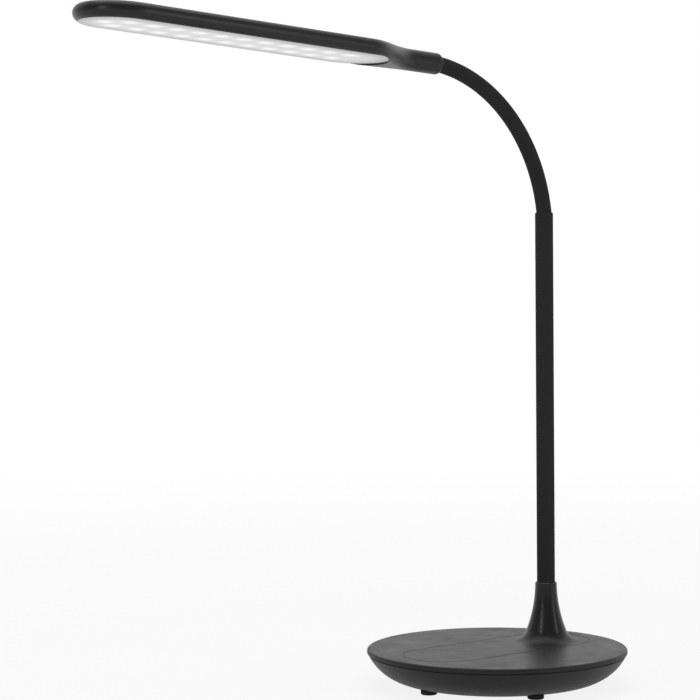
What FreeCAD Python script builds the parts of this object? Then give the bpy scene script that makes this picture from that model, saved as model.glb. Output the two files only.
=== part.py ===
import FreeCAD, Part

import math
import os

import Sketcher
from FreeCAD import Placement, Rotation, Vector

# Gooseneck desk lamp, millimetres.
# The origin is the centre of the base on the desk, under the feet. +Z is up, the stem stands at +X
# and the head reaches towards -X. The lamp is alike on both sides of the XZ plane.

UP = Vector(0, 0, 1)
ALONG = Vector(1, 0, 0)
ACROSS = Vector(0, 1, 0)

document = FreeCAD.newDocument("DeskLamp")
sheet = document.addObject("Spreadsheet::Sheet", "Sizes")
pieces = []


class Size:
    """A length or angle, held both as a number and as the sheet formula that gives it."""

    def __init__(self, value, formula):
        self.value = value
        self.formula = formula

    def __add__(self, other):
        other = as_size(other)
        return Size(self.value + other.value, f"({self.formula} + {other.formula})")

    def __sub__(self, other):
        other = as_size(other)
        return Size(self.value - other.value, f"({self.formula} - {other.formula})")

    def __mul__(self, other):
        other = as_size(other)
        return Size(self.value * other.value, f"({self.formula} * {other.formula})")

    def __truediv__(self, other):
        other = as_size(other)
        return Size(self.value / other.value, f"({self.formula} / {other.formula})")

    def __neg__(self):
        return Size(-self.value, f"(-1 * {self.formula})")


def as_size(number):
    if isinstance(number, Size):
        return number
    return Size(float(number), f"({number})")


def root(size):
    return Size(math.sqrt(size.value), f"sqrt({size.formula})")


def cosine(angle):
    return Size(math.cos(math.radians(angle.value)), f"cos({angle.formula})")


def sine(angle):
    return Size(math.sin(math.radians(angle.value)), f"sin({angle.formula})")


# Base
base_radius = 80.0  # widest radius of the top cover
deck_height = 22.5  # top of the cover above the desk
deck_rim_height = 2.7  # height of the cover's edge
deck_edge_round = 1.4  # rounding of the cover's top edge
seam_height = 0.9  # height of the groove between cover and bowl
seam_depth = 1.5  # depth of the groove between cover and bowl
rim_step = 0.7  # cover's reach beyond the bowl's rim
bowl_curve = 31.0  # radius of the bowl's side in section
bowl_wall = 2.4  # wall of the bowl
underside_height = 1.8  # flat underside above the desk
lip_height = 3.0  # height of the cover's locating ring
lip_wall = 1.6  # wall of the cover's locating ring
fit_gap = 0.15  # gap round parts that are set into each other
slip_gap = 0.05  # gap round screws and the stem's socket

# Feet and the screws above them
foot_count = 5
foot_inset = 24.7  # middle of a foot, from the cover's edge
foot_radius = 5.0  # radius of a foot
foot_height = 2.6  # height of a foot
foot_bevel = 0.6  # bevel of a foot's lower edge
post_radius = 4.0  # radius of a screw post
post_split_height = 12.1  # where the posts of bowl and cover meet
base_screw_radius = 1.5  # shank radius of a base screw
base_screw_cover = 2.3  # depth of cover left beyond a base screw's end
base_screw_head_radius = 2.8  # head radius of a base screw
base_screw_head_height = 2.2  # head height of a base screw
base_screw_sink = 2.9  # depth of the head's hole above the foot

# Control panel with the flared socket of the stem
panel_half_width = 25.5  # half the width of the control panel
panel_rear_margin = 10.3  # panel's rear end, from the cover's edge
panel_front_margin = 12.4  # panel's front end, from the cover's edge
panel_thickness = 1.6  # thickness of the control panel
panel_gap = 0.2  # gap between the control panel and its bed
panel_bevel = 0.35  # bevel along the seam of the panel and its bed
panel_window_inset = 3.5  # ledge under the panel's edge
panel_window_reach = 23.0  # front centre of the window under the panel
flare_height = 36.8  # height of the flared socket above the cover
flare_top_radius = 6.75  # radius at the top of the flared socket
flare_side_curve = 83.0  # radius of the flare's long side
flare_foot_curve = 10.0  # radius of the flare's foot
flare_lip = 0.6  # bevel at the top of the flared socket
flare_hollow_height = 12.0  # height of the hollow in the flare
flare_hollow_radius = 13.5  # radius of the hollow at the panel

# Stem
stem_lead = 2.2  # stem, in front of the middle of the panel's round rear end
stem_radius = 5.62  # outer radius of the stem tube
stem_wall = 0.8  # wall of the stem tube
stem_top_height = 290.7  # top of the stem above the desk
stem_bevel = 0.7  # bevel at the top of the stem

# Inside the base
ballast_gap = 1.0  # gap between the steel weight and the screw posts
ballast_thickness = 7.0  # thickness of the steel weight
ballast_screw_circle = 30.0  # circle of the weight's screws
ballast_screw_spread = 80.0  # angle between the weight's screws
ballast_post_radius = 3.2  # radius of the posts through the weight
bracket_lead = 26.0  # bracket's front edge, in front of the stem
bracket_length = 34.0  # length of the stem bracket
bracket_width = 22.0  # width of the stem bracket
bracket_thickness = 3.0  # thickness of the stem bracket
bracket_socket_radius = 8.2  # outer radius of the bracket's socket
bracket_socket_height = 4.8  # height of the socket above the bracket
bracket_screw_step = 10.0  # distance between the bracket's screw rows
bracket_screw_half_gap = 7.0  # half the gap between the rows
driver_board_gap = 12.0  # gap between the driver board and the stem bracket
driver_board_width = 40.0  # width of the driver board
driver_board_margin = 6.3  # driver board's front, from the weight's edge
board_thickness = 1.6  # thickness of the driver board
driver_part_gap = 1.5  # gap between the driver board's parts and the touch board
driver_part_spread = 8.0  # coils' distance from the board's middle
coil_radius = 4.0  # radius of a coil on the driver board
capacitor_radius = 2.2  # radius of a capacitor on the driver board
chip_side = 7.0  # side of the chip on the driver board
standoff_height = 3.0  # height of the driver board's standoffs
standoff_radius = 2.5  # radius of the driver board's standoffs
standoff_inset = 4.0  # standoff's distance from the board's edges
touch_board_margin = 6.1  # touch board's front, from the panel's round end
touch_board_gap = 22.0  # gap between the touch board and the stem's axis
touch_board_width = 34.0  # width of the touch board
touch_board_thickness = 1.2  # thickness of the touch board
small_screw_radius = 1.25  # shank radius of the small screws
small_screw_head_radius = 2.4  # head radius of the small screws
small_screw_head_height = 1.5  # head height of the small screws

# Power inlet in the rear wall
inlet_height = 11.0  # axis of the power inlet above the desk
jack_length = 12.6  # length of the power jack
inlet_recess = 15.8  # face of the power jack, from the cover's edge
jack_radius = 4.8  # outer radius of the power jack
jack_bore_radius = 2.85  # bore of the power jack
jack_bore_depth = 9.5  # depth of the power jack's bore
jack_pin_radius = 1.0  # radius of the power jack's pin
inlet_boss_radius = 6.6  # radius of the bowl's boss for the jack

# Flexible neck
neck_links = 12
neck_radius = 4.75  # outer radius of the neck's sleeve
sleeve_bore = 3.5  # inner radius of the neck's sleeve
core_radius = 3.15  # outer radius of the neck's core
core_bore = 1.75  # inner radius of the neck's core
core_gap = 1.3  # gap between two lengths of the core
core_bevel = 0.4  # bevel at the ends of a length of the core
neck_curve = 102.0  # bend radius of the neck
neck_start_angle = 8.5  # neck's lean where it leaves the stem
neck_end_angle = 79.7  # neck's lean where it meets the collar
mouth_curve = 20.0  # bend radius at the stem's mouth
collar_curve = 66.0  # bend radius at the collar's mouth
mouth_depth = 1.5  # where the neck starts to bend inside the stem
ferrule_top_drop = 0.3  # root ferrule's top below the stem's top
ferrule_spigot = 5.0  # length of the spigots that the sleeve is pushed on
ferrule_length = 17.0  # length of the root ferrule's body
wire_radius = 0.7  # radius of one wire
wire_half_gap = 0.8  # half the distance between the two wires
wire_way_radius = 2.0  # passage for the wires beside the diffuser's end

# Head, in its own frame: X runs from the collar's face to the tip, Z is up
head_tilt = 3.35  # head's tilt, tip up
collar_radius = 6.45  # radius of the collar
collar_round = 2.3  # rounding of the collar's end
collar_length = 22.0  # straight length of the collar
shoulder_end = 68.5  # where the head reaches its full width
head_half_width = 25.3  # half the width of the head
head_half_height = 4.75  # half the thickness of the head
head_rise = 0.6  # head's middle above the collar's axis
tip_centre = 225.9  # centre of the head's round tip
head_wall = 1.8  # wall of the head
collar_bore = 5.2  # bore of the collar
collar_web_start = 10.5  # outer face of the collar's web
collar_web_end = 12.5  # inner face of the collar's web
diffuser_margin = 3.3  # diffuser's edge, inside the head's side
diffuser_thickness = 2.0  # thickness of the diffuser
diffuser_lead = 2.0  # middle of the diffuser's rear end, before the shoulder's end
diffuser_ledge = 1.5  # ledge that the diffuser rests on
led_board_inset = 0.9  # gap between the light board and the cavity's wall
led_board_thickness = 1.2  # thickness of the light board
led_gap = 0.8  # gap between a light source and the diffuser
led_size = 3.0  # side of one light source
led_height = 0.7  # height of one light source
led_step = 15.0  # distance between light sources along the head
led_half_gap = 8.6  # half the distance between the two rows
led_lead = 8.0  # first light source, from the middle of the diffuser's rear end
led_tip_step = 9.3  # single light source, from the middle of the round tip
cover_top = 2.6  # neck cover's edge below the collar's axis
cover_rear = 16.5  # narrow end of the neck cover
cover_inset = 2.0  # neck cover's edge inside the head's side
nut_thickness = 3.0  # thickness of the collar's nut
nut_half_width = 3.9  # half the width across the nut's flats
ferrule_thread_radius = 3.2  # radius of the end ferrule's thread

# Every size above goes on the sheet under its own name, and stands for its cell from here on.
driving_sizes = {name: size for name, size in globals().items() if isinstance(size, float)}
for row, (name, number) in enumerate(driving_sizes.items(), 1):
    sheet.set(f"A{row}", name)
    sheet.set(f"B{row}", str(number))
    sheet.setAlias(f"B{row}", name)
    globals()[name] = Size(number, f"Sizes.{name}")
document.recompute()

zero = Size(0.0, "0")

# Plan places that follow from the driving sizes
bowl_rim_radius = base_radius - rim_step
foot_pitch_radius = base_radius - foot_inset
panel_rear_centre = base_radius - panel_rear_margin - panel_half_width
panel_front_centre = base_radius - panel_front_margin - panel_half_width
stem_offset = panel_rear_centre - stem_lead
ballast_radius = foot_pitch_radius - post_radius - ballast_gap
bracket_front = stem_offset - bracket_lead
driver_board_front = driver_board_margin - ballast_radius
driver_board_length = bracket_front - driver_board_gap - driver_board_front
touch_board_front = touch_board_margin - panel_front_centre
touch_board_length = stem_offset - touch_board_gap - touch_board_front
inlet_face = base_radius - inlet_recess
inlet_inner_end = inlet_face - jack_length
diffuser_half_width = head_half_width - diffuser_margin
diffuser_rear_centre = shoulder_end - diffuser_lead
led_first = diffuser_rear_centre + led_lead
led_tip = tip_centre + led_tip_step
led_rows = 1 + int((tip_centre - led_first).value / led_step.value)


def plane_of(body, role):
    for feature in body.Origin.OriginFeatures:
        if feature.Role == role:
            return feature


def new_body(label):
    body = document.addObject("PartDesign::Body", label)
    body.Label = label
    pieces.append(body)
    return body


def new_sketch(body, role, name, offset=None):
    """A sketch on one of the body's own planes, moved along the plane's normal by offset."""
    sketch = body.newObject("Sketcher::SketchObject", name)
    sketch.AttachmentSupport = [(plane_of(body, role), "")]
    sketch.MapMode = "FlatFace"
    if offset is not None:
        sketch.AttachmentOffset = Placement(Vector(0, 0, offset.value), Rotation())
        sketch.setExpression(".AttachmentOffset.Base.z", offset.formula)
    return sketch


def hold(sketch, kind, edge, end, size):
    """Fixes one coordinate of a point of the sketch to a sheet formula."""
    if size.formula == "0":
        axis = -2 if kind == "DistanceX" else -1
        sketch.addConstraint(Sketcher.Constraint("PointOnObject", edge, end, axis))
        return
    row = sketch.addConstraint(Sketcher.Constraint(kind, -1, 1, edge, end, size.value))
    sketch.setExpression(f"Constraints[{row}]", size.formula)


def outline(sketch, corners, arcs=None):
    """A closed outline. arcs[i] = (centre x, centre y, turn) bends the edge after corner i."""
    arcs = arcs or {}
    corners = [(as_size(x), as_size(y)) for x, y in corners]
    edges = []
    for i, (x, y) in enumerate(corners):
        next_x, next_y = corners[(i + 1) % len(corners)]
        start = Vector(x.value, y.value, 0)
        end = Vector(next_x.value, next_y.value, 0)
        if i not in arcs:
            edges.append((sketch.addGeometry(Part.LineSegment(start, end)), 1, 2))
            continue
        centre_x, centre_y, turn = arcs[i]
        centre = Vector(centre_x.value, centre_y.value, 0)
        first, last = (start, end) if turn > 0 else (end, start)
        first_angle = math.atan2(first.y - centre.y, first.x - centre.x)
        last_angle = math.atan2(last.y - centre.y, last.x - centre.x)
        if last_angle <= first_angle:
            last_angle += 2 * math.pi
        circle = Part.Circle(centre, UP, (start - centre).Length)
        edge = sketch.addGeometry(Part.ArcOfCircle(circle, first_angle, last_angle))
        edges.append((edge, 1, 2) if turn > 0 else (edge, 2, 1))
        if abs(end.y - start.y) > abs(end.x - start.x):
            hold(sketch, "DistanceX", edge, 3, centre_x)
        else:
            hold(sketch, "DistanceY", edge, 3, centre_y)
    for i, (edge, _, end) in enumerate(edges):
        following, start, _ = edges[(i + 1) % len(edges)]
        sketch.addConstraint(Sketcher.Constraint("Coincident", edge, end, following, start))
    for (edge, start, _), (x, y) in zip(edges, corners):
        hold(sketch, "DistanceX", edge, start, x)
        hold(sketch, "DistanceY", edge, start, y)


def disc(sketch, x, y, radius):
    circle = Part.Circle(Vector(x.value, y.value, 0), UP, radius.value)
    edge = sketch.addGeometry(circle)
    hold(sketch, "DistanceX", edge, 3, x)
    hold(sketch, "DistanceY", edge, 3, y)
    row = sketch.addConstraint(Sketcher.Constraint("Radius", edge, radius.value))
    sketch.setExpression(f"Constraints[{row}]", radius.formula)


def rectangle(sketch, x, y, length, width):
    outline(sketch, [(x, y), (x + length, y), (x + length, y + width), (x, y + width)])


def racetrack(sketch, front, rear, radius):
    """Two straight sides joined by half circles about x = front and x = rear."""
    corners = [(front, -radius), (rear, -radius), (rear, radius), (front, radius)]
    outline(sketch, corners, {1: (rear, zero, 1), 3: (front, zero, 1)})


def revolve(body, sketch, name):
    feature = body.newObject("PartDesign::Revolution", name)
    feature.Profile = sketch
    feature.ReferenceAxis = (sketch, ["V_Axis"])
    feature.Angle = 360.0
    body.Tip = feature
    return feature


def groove(body, sketch, name):
    feature = body.newObject("PartDesign::Groove", name)
    feature.Profile = sketch
    feature.ReferenceAxis = (sketch, ["V_Axis"])
    feature.Angle = 360.0
    body.Tip = feature
    return feature


def pad(body, sketch, name, length, reverse=False):
    feature = body.newObject("PartDesign::Pad", name)
    feature.Profile = sketch
    feature.Length = length.value
    feature.setExpression("Length", length.formula)
    feature.Reversed = reverse
    body.Tip = feature
    return feature


def pocket(body, sketch, name, length, reverse=False):
    feature = body.newObject("PartDesign::Pocket", name)
    feature.Profile = sketch
    feature.Length = length.value
    feature.setExpression("Length", length.formula)
    feature.Reversed = reverse
    body.Tip = feature
    return feature


def bevel(body, feature, name, size, wanted):
    """Bevels those edges of a feature that wanted(edge) picks."""
    document.recompute()
    edges = feature.Shape.Edges
    chamfer = body.newObject("PartDesign::Chamfer", name)
    chamfer.Base = (feature, [f"Edge{i}" for i, edge in enumerate(edges, 1) if wanted(edge)])
    chamfer.Size = size.value
    chamfer.setExpression("Size", size.formula)
    body.Tip = chamfer
    return chamfer


def around(body, features, name, count):
    """Repeats features about the body's Z axis."""
    pattern = body.newObject("PartDesign::PolarPattern", name)
    pattern.Originals = features
    pattern.Axis = (plane_of(body, "Z_Axis"), [""])
    pattern.Angle = 360.0
    pattern.Occurrences = count
    body.Tip = pattern
    return pattern


def cylinder(name, radius, height, place):
    solid = document.addObject("Part::Cylinder", name)
    solid.Radius = radius.value
    solid.Height = height.value
    solid.setExpression("Radius", radius.formula)
    solid.setExpression("Height", height.formula)
    solid.Placement = place
    return solid


def block(name, length, width, height, place):
    solid = document.addObject("Part::Box", name)
    for side, size in (("Length", length), ("Width", width), ("Height", height)):
        setattr(solid, side, size.value)
        solid.setExpression(side, size.formula)
    solid.Placement = place
    return solid


def group(label, solids):
    """Like pieces that share one node."""
    compound = document.addObject("Part::Compound", label)
    compound.Label = label
    compound.Links = solids
    pieces.append(compound)
    return compound


def moulded(label, shape, place=None):
    """A piece whose form no sketch or primitive gives."""
    feature = document.addObject("Part::Feature", label)
    feature.Label = label
    feature.Shape = shape
    if place is not None:
        feature.Placement = place
    pieces.append(feature)
    return feature


def screws(label, head_radius, head_height, shank_radius, shank_length, places):
    """Round-headed screws. Each place is the underside of a head, with Z along the shank."""
    made = []
    for i, place in enumerate(places):
        head_place = place.multiply(Placement(UP * -head_height.value, Rotation()))
        head = cylinder(f"{label}_head_{i}", head_radius, head_height, head_place)
        shank = cylinder(f"{label}_shank_{i}", shank_radius, shank_length, place)
        screw = document.addObject("Part::Fuse", f"{label}_{i}")
        screw.Base = head
        screw.Tool = shank
        made.append(screw)
    return group(label, made)


def at(x, y, z, rotation=None):
    return Placement(Vector(x, y, z), rotation or Rotation())


DOWNWARD = Rotation(ALONG, 180)

# Heights that follow from the driving sizes
rim_height = deck_height - deck_rim_height
bowl_rim_height = rim_height - seam_height
floor_height = underside_height + bowl_wall
ballast_top = floor_height + ballast_thickness
panel_underside = deck_height - panel_thickness
base_screw_foot = foot_height + base_screw_sink
base_screw_length = rim_height - base_screw_cover - base_screw_foot
bowl_centre_height = underside_height + bowl_curve
bowl_rise = bowl_centre_height - bowl_rim_height
bowl_centre_radius = bowl_rim_radius - root(bowl_curve * bowl_curve - bowl_rise * bowl_rise)
bowl_inner_curve = bowl_curve - bowl_wall
bowl_inner_rim = bowl_centre_radius + root(
    bowl_inner_curve * bowl_inner_curve - bowl_rise * bowl_rise
)


def foot_places():
    for i in range(foot_count):
        angle = math.radians(180.0 + i * 360.0 / foot_count)
        radius = foot_pitch_radius.value
        yield radius * math.cos(angle), radius * math.sin(angle)


def weight_screw_spots():
    """One screw in front and one on either side of it."""
    yield -ballast_screw_circle, zero
    for side in (-1, 1):
        x = -ballast_screw_circle * cosine(ballast_screw_spread)
        yield x, ballast_screw_circle * sine(ballast_screw_spread) * side


# Bottom bowl: a thin moulded shell with a flat underside, screw posts over the feet, posts that
# pass through the steel weight, and a boss round the power inlet.
def make_bowl():
    body = new_body("base_bowl")
    profile = new_sketch(body, "XZ_Plane", "BowlProfile")
    outline(
        profile,
        [
            (zero, underside_height),
            (bowl_centre_radius, underside_height),
            (bowl_rim_radius, bowl_rim_height),
            (bowl_inner_rim, bowl_rim_height),
            (bowl_centre_radius, floor_height),
            (zero, floor_height),
        ],
        {
            1: (bowl_centre_radius, bowl_centre_height, 1),
            3: (bowl_centre_radius, bowl_centre_height, -1),
        },
    )
    revolve(body, profile, "BowlShell")

    post_base = foot_height + 0.8
    post = new_sketch(body, "XY_Plane", "PostSketch", post_base)
    disc(post, -foot_pitch_radius, zero, post_radius)
    post_pad = pad(body, post, "Post", post_split_height - post_base - 0.1)
    seat = new_sketch(body, "XY_Plane", "FootSeatSketch", foot_height)
    disc(seat, -foot_pitch_radius, zero, foot_radius + fit_gap)
    seat_cut = pocket(body, seat, "FootSeat", foot_height)
    sink = new_sketch(body, "XY_Plane", "HeadHoleSketch", base_screw_foot)
    disc(sink, -foot_pitch_radius, zero, base_screw_head_radius + fit_gap)
    sink_cut = pocket(body, sink, "HeadHole", base_screw_sink + 0.5)
    hole = new_sketch(body, "XY_Plane", "ScrewHoleSketch", post_split_height)
    disc(hole, -foot_pitch_radius, zero, base_screw_radius + slip_gap)
    hole_cut = pocket(body, hole, "ScrewHole", post_split_height - foot_height)
    around(body, [post_pad, seat_cut, sink_cut, hole_cut], "Posts", foot_count)

    weight_posts = new_sketch(body, "XY_Plane", "WeightPostSketch", floor_height - 0.5)
    for x, y in weight_screw_spots():
        disc(weight_posts, x, y, ballast_post_radius)
    pad(body, weight_posts, "WeightPosts", ballast_thickness + 0.4)
    pilots = new_sketch(body, "XY_Plane", "PilotSketch", ballast_top)
    for x, y in weight_screw_spots():
        disc(pilots, x, y, small_screw_radius + slip_gap)
    pocket(body, pilots, "Pilots", ballast_thickness)

    boss = new_sketch(body, "YZ_Plane", "InletBossSketch", inlet_inner_end + 1.4)
    disc(boss, zero, inlet_height, inlet_boss_radius)
    pad(body, boss, "InletBoss", inlet_face - inlet_inner_end - 3.4)
    tunnel = new_sketch(body, "YZ_Plane", "InletTunnelSketch", base_radius)
    disc(tunnel, zero, inlet_height, jack_radius + fit_gap)
    pocket(body, tunnel, "InletTunnel", base_radius - inlet_inner_end)
    return body


# Top cover: a flat disc with a rounded edge, a groove-making step under its rim, a locating ring,
# screw posts, and a shallow bed with a window for the control panel.
def make_deck():
    body = new_body("base_deck")
    ring_foot = bowl_rim_height - lip_height
    ring_drop = bowl_centre_height - ring_foot
    ring_reach = root(bowl_inner_curve * bowl_inner_curve - ring_drop * ring_drop)
    ring_outer = bowl_centre_radius + ring_reach - fit_gap
    profile = new_sketch(body, "XZ_Plane", "DeckProfile")
    edge_top = deck_height - deck_edge_round
    outline(
        profile,
        [
            (zero, deck_height),
            (zero, rim_height),
            (ring_outer - lip_wall, rim_height),
            (ring_outer - lip_wall, ring_foot),
            (ring_outer, ring_foot),
            (ring_outer, bowl_rim_height),
            (base_radius - seam_depth, bowl_rim_height),
            (base_radius - seam_depth, rim_height),
            (base_radius, rim_height),
            (base_radius, edge_top),
            (base_radius - deck_edge_round, deck_height),
        ],
        {9: (base_radius - deck_edge_round, edge_top, 1)},
    )
    revolve(body, profile, "DeckDisc")

    post = new_sketch(body, "XY_Plane", "PostSketch", post_split_height + 0.1)
    disc(post, -foot_pitch_radius, zero, post_radius)
    post_pad = pad(body, post, "Post", rim_height - post_split_height + 0.4)
    hole = new_sketch(body, "XY_Plane", "PilotSketch", rim_height - 0.6)
    disc(hole, -foot_pitch_radius, zero, base_screw_radius + slip_gap)
    hole_cut = pocket(body, hole, "Pilot", rim_height - post_split_height)
    around(body, [post_pad, hole_cut], "Posts", foot_count)

    bed = new_sketch(body, "XY_Plane", "PanelBedSketch", deck_height)
    racetrack(bed, -panel_front_centre, panel_rear_centre, panel_half_width + panel_gap)
    bed_cut = pocket(body, bed, "PanelBed", panel_thickness)

    def on_bed_edge(edge):
        box = edge.BoundBox
        on_top = abs(box.ZMin - deck_height.value) + abs(box.ZMax - deck_height.value) < 0.001
        return on_top and box.XMax < base_radius.value - 2 * deck_edge_round.value

    bevel(body, bed_cut, "BedBevel", panel_bevel, on_bed_edge)
    window = new_sketch(body, "XY_Plane", "PanelWindowSketch", deck_height)
    window_radius = panel_half_width - panel_window_inset
    racetrack(window, -panel_window_reach, panel_rear_centre - panel_window_inset, window_radius)
    pocket(body, window, "PanelWindow", deck_rim_height + 1)
    return body


# Control panel: a flush racetrack plate that rises in one smooth flare to the stem's socket.
def make_panel():
    body = new_body("control_panel")
    body.Placement = at(stem_offset.value, 0, 0)
    body.setExpression(".Placement.Base.x", stem_offset.formula)
    plate = new_sketch(body, "XY_Plane", "PanelSketch", panel_underside)
    front = -panel_front_centre - stem_offset
    rear = panel_rear_centre - stem_offset
    racetrack(plate, front, rear, panel_half_width)
    plate_pad = pad(body, plate, "Panel", panel_thickness)
    bevel(
        body,
        plate_pad,
        "PanelBevel",
        panel_bevel,
        lambda edge: abs(edge.BoundBox.ZMin - deck_height.value) < 0.001,
    )

    top = deck_height + flare_height
    side_x = flare_top_radius + flare_side_curve
    foot_z = deck_height + flare_foot_curve
    curves = flare_side_curve - flare_foot_curve
    drop = top - foot_z
    foot_x = side_x - root(curves * curves - drop * drop)
    share = flare_side_curve / curves
    meet_x = side_x + (foot_x - side_x) * share
    meet_z = top + (foot_z - top) * share
    lip_z = top - flare_lip
    lip_x = side_x - root(flare_side_curve * flare_side_curve - flare_lip * flare_lip)
    bore = stem_radius + fit_gap
    flare = new_sketch(body, "XZ_Plane", "FlareProfile")
    outline(
        flare,
        [
            (bore, panel_underside),
            (foot_x, panel_underside),
            (foot_x, deck_height),
            (meet_x, meet_z),
            (lip_x, lip_z),
            (flare_top_radius - flare_lip, top),
            (bore, top),
        ],
        {2: (foot_x, foot_z, -1), 3: (side_x, top, -1)},
    )
    revolve(body, flare, "Flare")

    hollow = new_sketch(body, "XZ_Plane", "HollowProfile")
    outline(
        hollow,
        [
            (zero, panel_underside - 1),
            (flare_hollow_radius, panel_underside - 1),
            (flare_hollow_radius, panel_underside),
            (bore, panel_underside + flare_hollow_height),
            (bore, deck_height + flare_height * 0.9),
            (zero, deck_height + flare_height * 0.9),
        ],
    )
    groove(body, hollow, "Hollow")
    return body


# Rubber feet, each a low plug with a bevelled lower edge, stuck into its seat over a screw.
def make_feet():
    feet = []
    for i, (x, y) in enumerate(foot_places()):
        plug_place = at(x, y, foot_bevel.value)
        plug = cylinder(f"foot_plug_{i}", foot_radius, foot_height - foot_bevel, plug_place)
        tread = document.addObject("Part::Cone", f"foot_tread_{i}")
        tread.Placement = at(x, y, 0)
        for side, size in (
            ("Radius1", foot_radius - foot_bevel),
            ("Radius2", foot_radius),
            ("Height", foot_bevel),
        ):
            setattr(tread, side, size.value)
            tread.setExpression(side, size.formula)
        foot = document.addObject("Part::Fuse", f"foot_{i}")
        foot.Base = plug
        foot.Tool = tread
        feet.append(foot)
    return group("rubber_feet", feet)


def make_base_screws():
    places = [at(x, y, base_screw_foot.value) for x, y in foot_places()]
    screws(
        "base_screws",
        base_screw_head_radius,
        base_screw_head_height,
        base_screw_radius,
        base_screw_length,
        places,
    )


# Steel weight on the bowl's floor, with holes for the posts and for the stem bracket's screws.
def make_ballast():
    body = new_body("ballast_plate")
    plate = new_sketch(body, "XY_Plane", "WeightSketch", floor_height)
    disc(plate, zero, zero, ballast_radius)
    pad(body, plate, "Weight", ballast_thickness)
    holes = new_sketch(body, "XY_Plane", "PostHoleSketch", ballast_top)
    for x, y in weight_screw_spots():
        disc(holes, x, y, ballast_post_radius + fit_gap)
    pocket(body, holes, "PostHoles", ballast_thickness + 1)
    tapped = new_sketch(body, "XY_Plane", "TappedHoleSketch", ballast_top)
    for x, y in bracket_screw_spots():
        disc(tapped, x, y, base_screw_radius + slip_gap)
    for x, y in standoff_spots():
        disc(tapped, x, y, small_screw_radius + slip_gap)
    pocket(body, tapped, "TappedHoles", ballast_thickness - 1)
    return body


def bracket_screw_spots():
    first = bracket_front + 4
    for x in (first, first + bracket_screw_step):
        for y in (-bracket_screw_half_gap, bracket_screw_half_gap):
            yield x, y


def standoff_spots():
    half = driver_board_width / 2 - standoff_inset
    front = driver_board_front + standoff_inset
    rear = driver_board_front + driver_board_length - standoff_inset
    for x in (front, rear):
        for y in (-half, half):
            yield x, y


def make_ballast_screws():
    places = [at(x.value, y.value, ballast_top.value, DOWNWARD) for x, y in weight_screw_spots()]
    wide_head = ballast_post_radius + 1.2
    length = ballast_thickness - 1
    screws("ballast_screws", wide_head, small_screw_head_height, small_screw_radius, length, places)


# Stem bracket: a steel plate with a socket that the stem tube stands in.
def make_bracket():
    body = new_body("stem_bracket")
    plate = new_sketch(body, "XY_Plane", "BracketSketch", ballast_top)
    rectangle(plate, bracket_front, -bracket_width / 2, bracket_length, bracket_width)
    pad(body, plate, "BracketPlate", bracket_thickness)
    socket = new_sketch(body, "XY_Plane", "SocketSketch", ballast_top)
    disc(socket, stem_offset, zero, bracket_socket_radius)
    pad(body, socket, "Socket", bracket_thickness + bracket_socket_height)
    socket_top = ballast_top + bracket_thickness + bracket_socket_height
    bore = new_sketch(body, "XY_Plane", "SocketBoreSketch", socket_top)
    disc(bore, stem_offset, zero, stem_radius + slip_gap)
    pocket(body, bore, "SocketBore", bracket_thickness + bracket_socket_height - 1)
    holes = new_sketch(body, "XY_Plane", "BracketHoleSketch", ballast_top + bracket_thickness)
    for x, y in bracket_screw_spots():
        disc(holes, x, y, base_screw_radius + slip_gap)
    pocket(body, holes, "BracketHoles", bracket_thickness + 1)
    return body


def make_bracket_screws():
    height = (ballast_top + bracket_thickness).value
    places = [at(x.value, y.value, height, DOWNWARD) for x, y in bracket_screw_spots()]
    length = bracket_thickness + ballast_thickness - 2
    screws(
        "bracket_screws",
        base_screw_head_radius,
        base_screw_head_height,
        base_screw_radius,
        length,
        places,
    )


# Stem: a straight tube with a small bevel at its mouth.
def make_stem():
    body = new_body("stem_tube")
    body.Placement = at(stem_offset.value, 0, 0)
    body.setExpression(".Placement.Base.x", stem_offset.formula)
    profile = new_sketch(body, "XZ_Plane", "StemProfile")
    bottom = ballast_top + 1
    inner = stem_radius - stem_wall
    outline(
        profile,
        [
            (inner, bottom),
            (stem_radius, bottom),
            (stem_radius, stem_top_height - stem_bevel),
            (stem_radius - stem_bevel, stem_top_height),
            (inner, stem_top_height),
        ],
    )
    revolve(body, profile, "Stem")
    return body


# Driver board on four standoffs over the weight, with its parts and screws.
def make_driver_board():
    bottom = ballast_top + standoff_height
    body = new_body("driver_board")
    board = new_sketch(body, "XY_Plane", "DriverBoardSketch", bottom)
    half = driver_board_width / 2
    rectangle(board, driver_board_front, -half, driver_board_length, driver_board_width)
    pad(body, board, "DriverBoard", board_thickness)
    holes = new_sketch(body, "XY_Plane", "DriverBoardHoleSketch", bottom + board_thickness)
    for x, y in standoff_spots():
        disc(holes, x, y, small_screw_radius + slip_gap)
    pocket(body, holes, "DriverBoardHoles", board_thickness + 1)

    standoffs = []
    places = []
    for i, (x, y) in enumerate(standoff_spots()):
        place = at(x.value, y.value, ballast_top.value)
        post = cylinder(f"standoff_post_{i}", standoff_radius, standoff_height, place)
        bore = cylinder(f"standoff_bore_{i}", small_screw_radius + slip_gap, standoff_height, place)
        standoff = document.addObject("Part::Cut", f"standoff_{i}")
        standoff.Base = post
        standoff.Tool = bore
        standoffs.append(standoff)
        top = (bottom + board_thickness).value
        places.append(at(x.value, y.value, top, DOWNWARD))
    group("board_standoffs", standoffs)
    length = board_thickness + standoff_height + 4
    screws(
        "board_screws",
        small_screw_head_radius,
        small_screw_head_height,
        small_screw_radius,
        length,
        places,
    )
    make_driver_parts(bottom + board_thickness)


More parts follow.
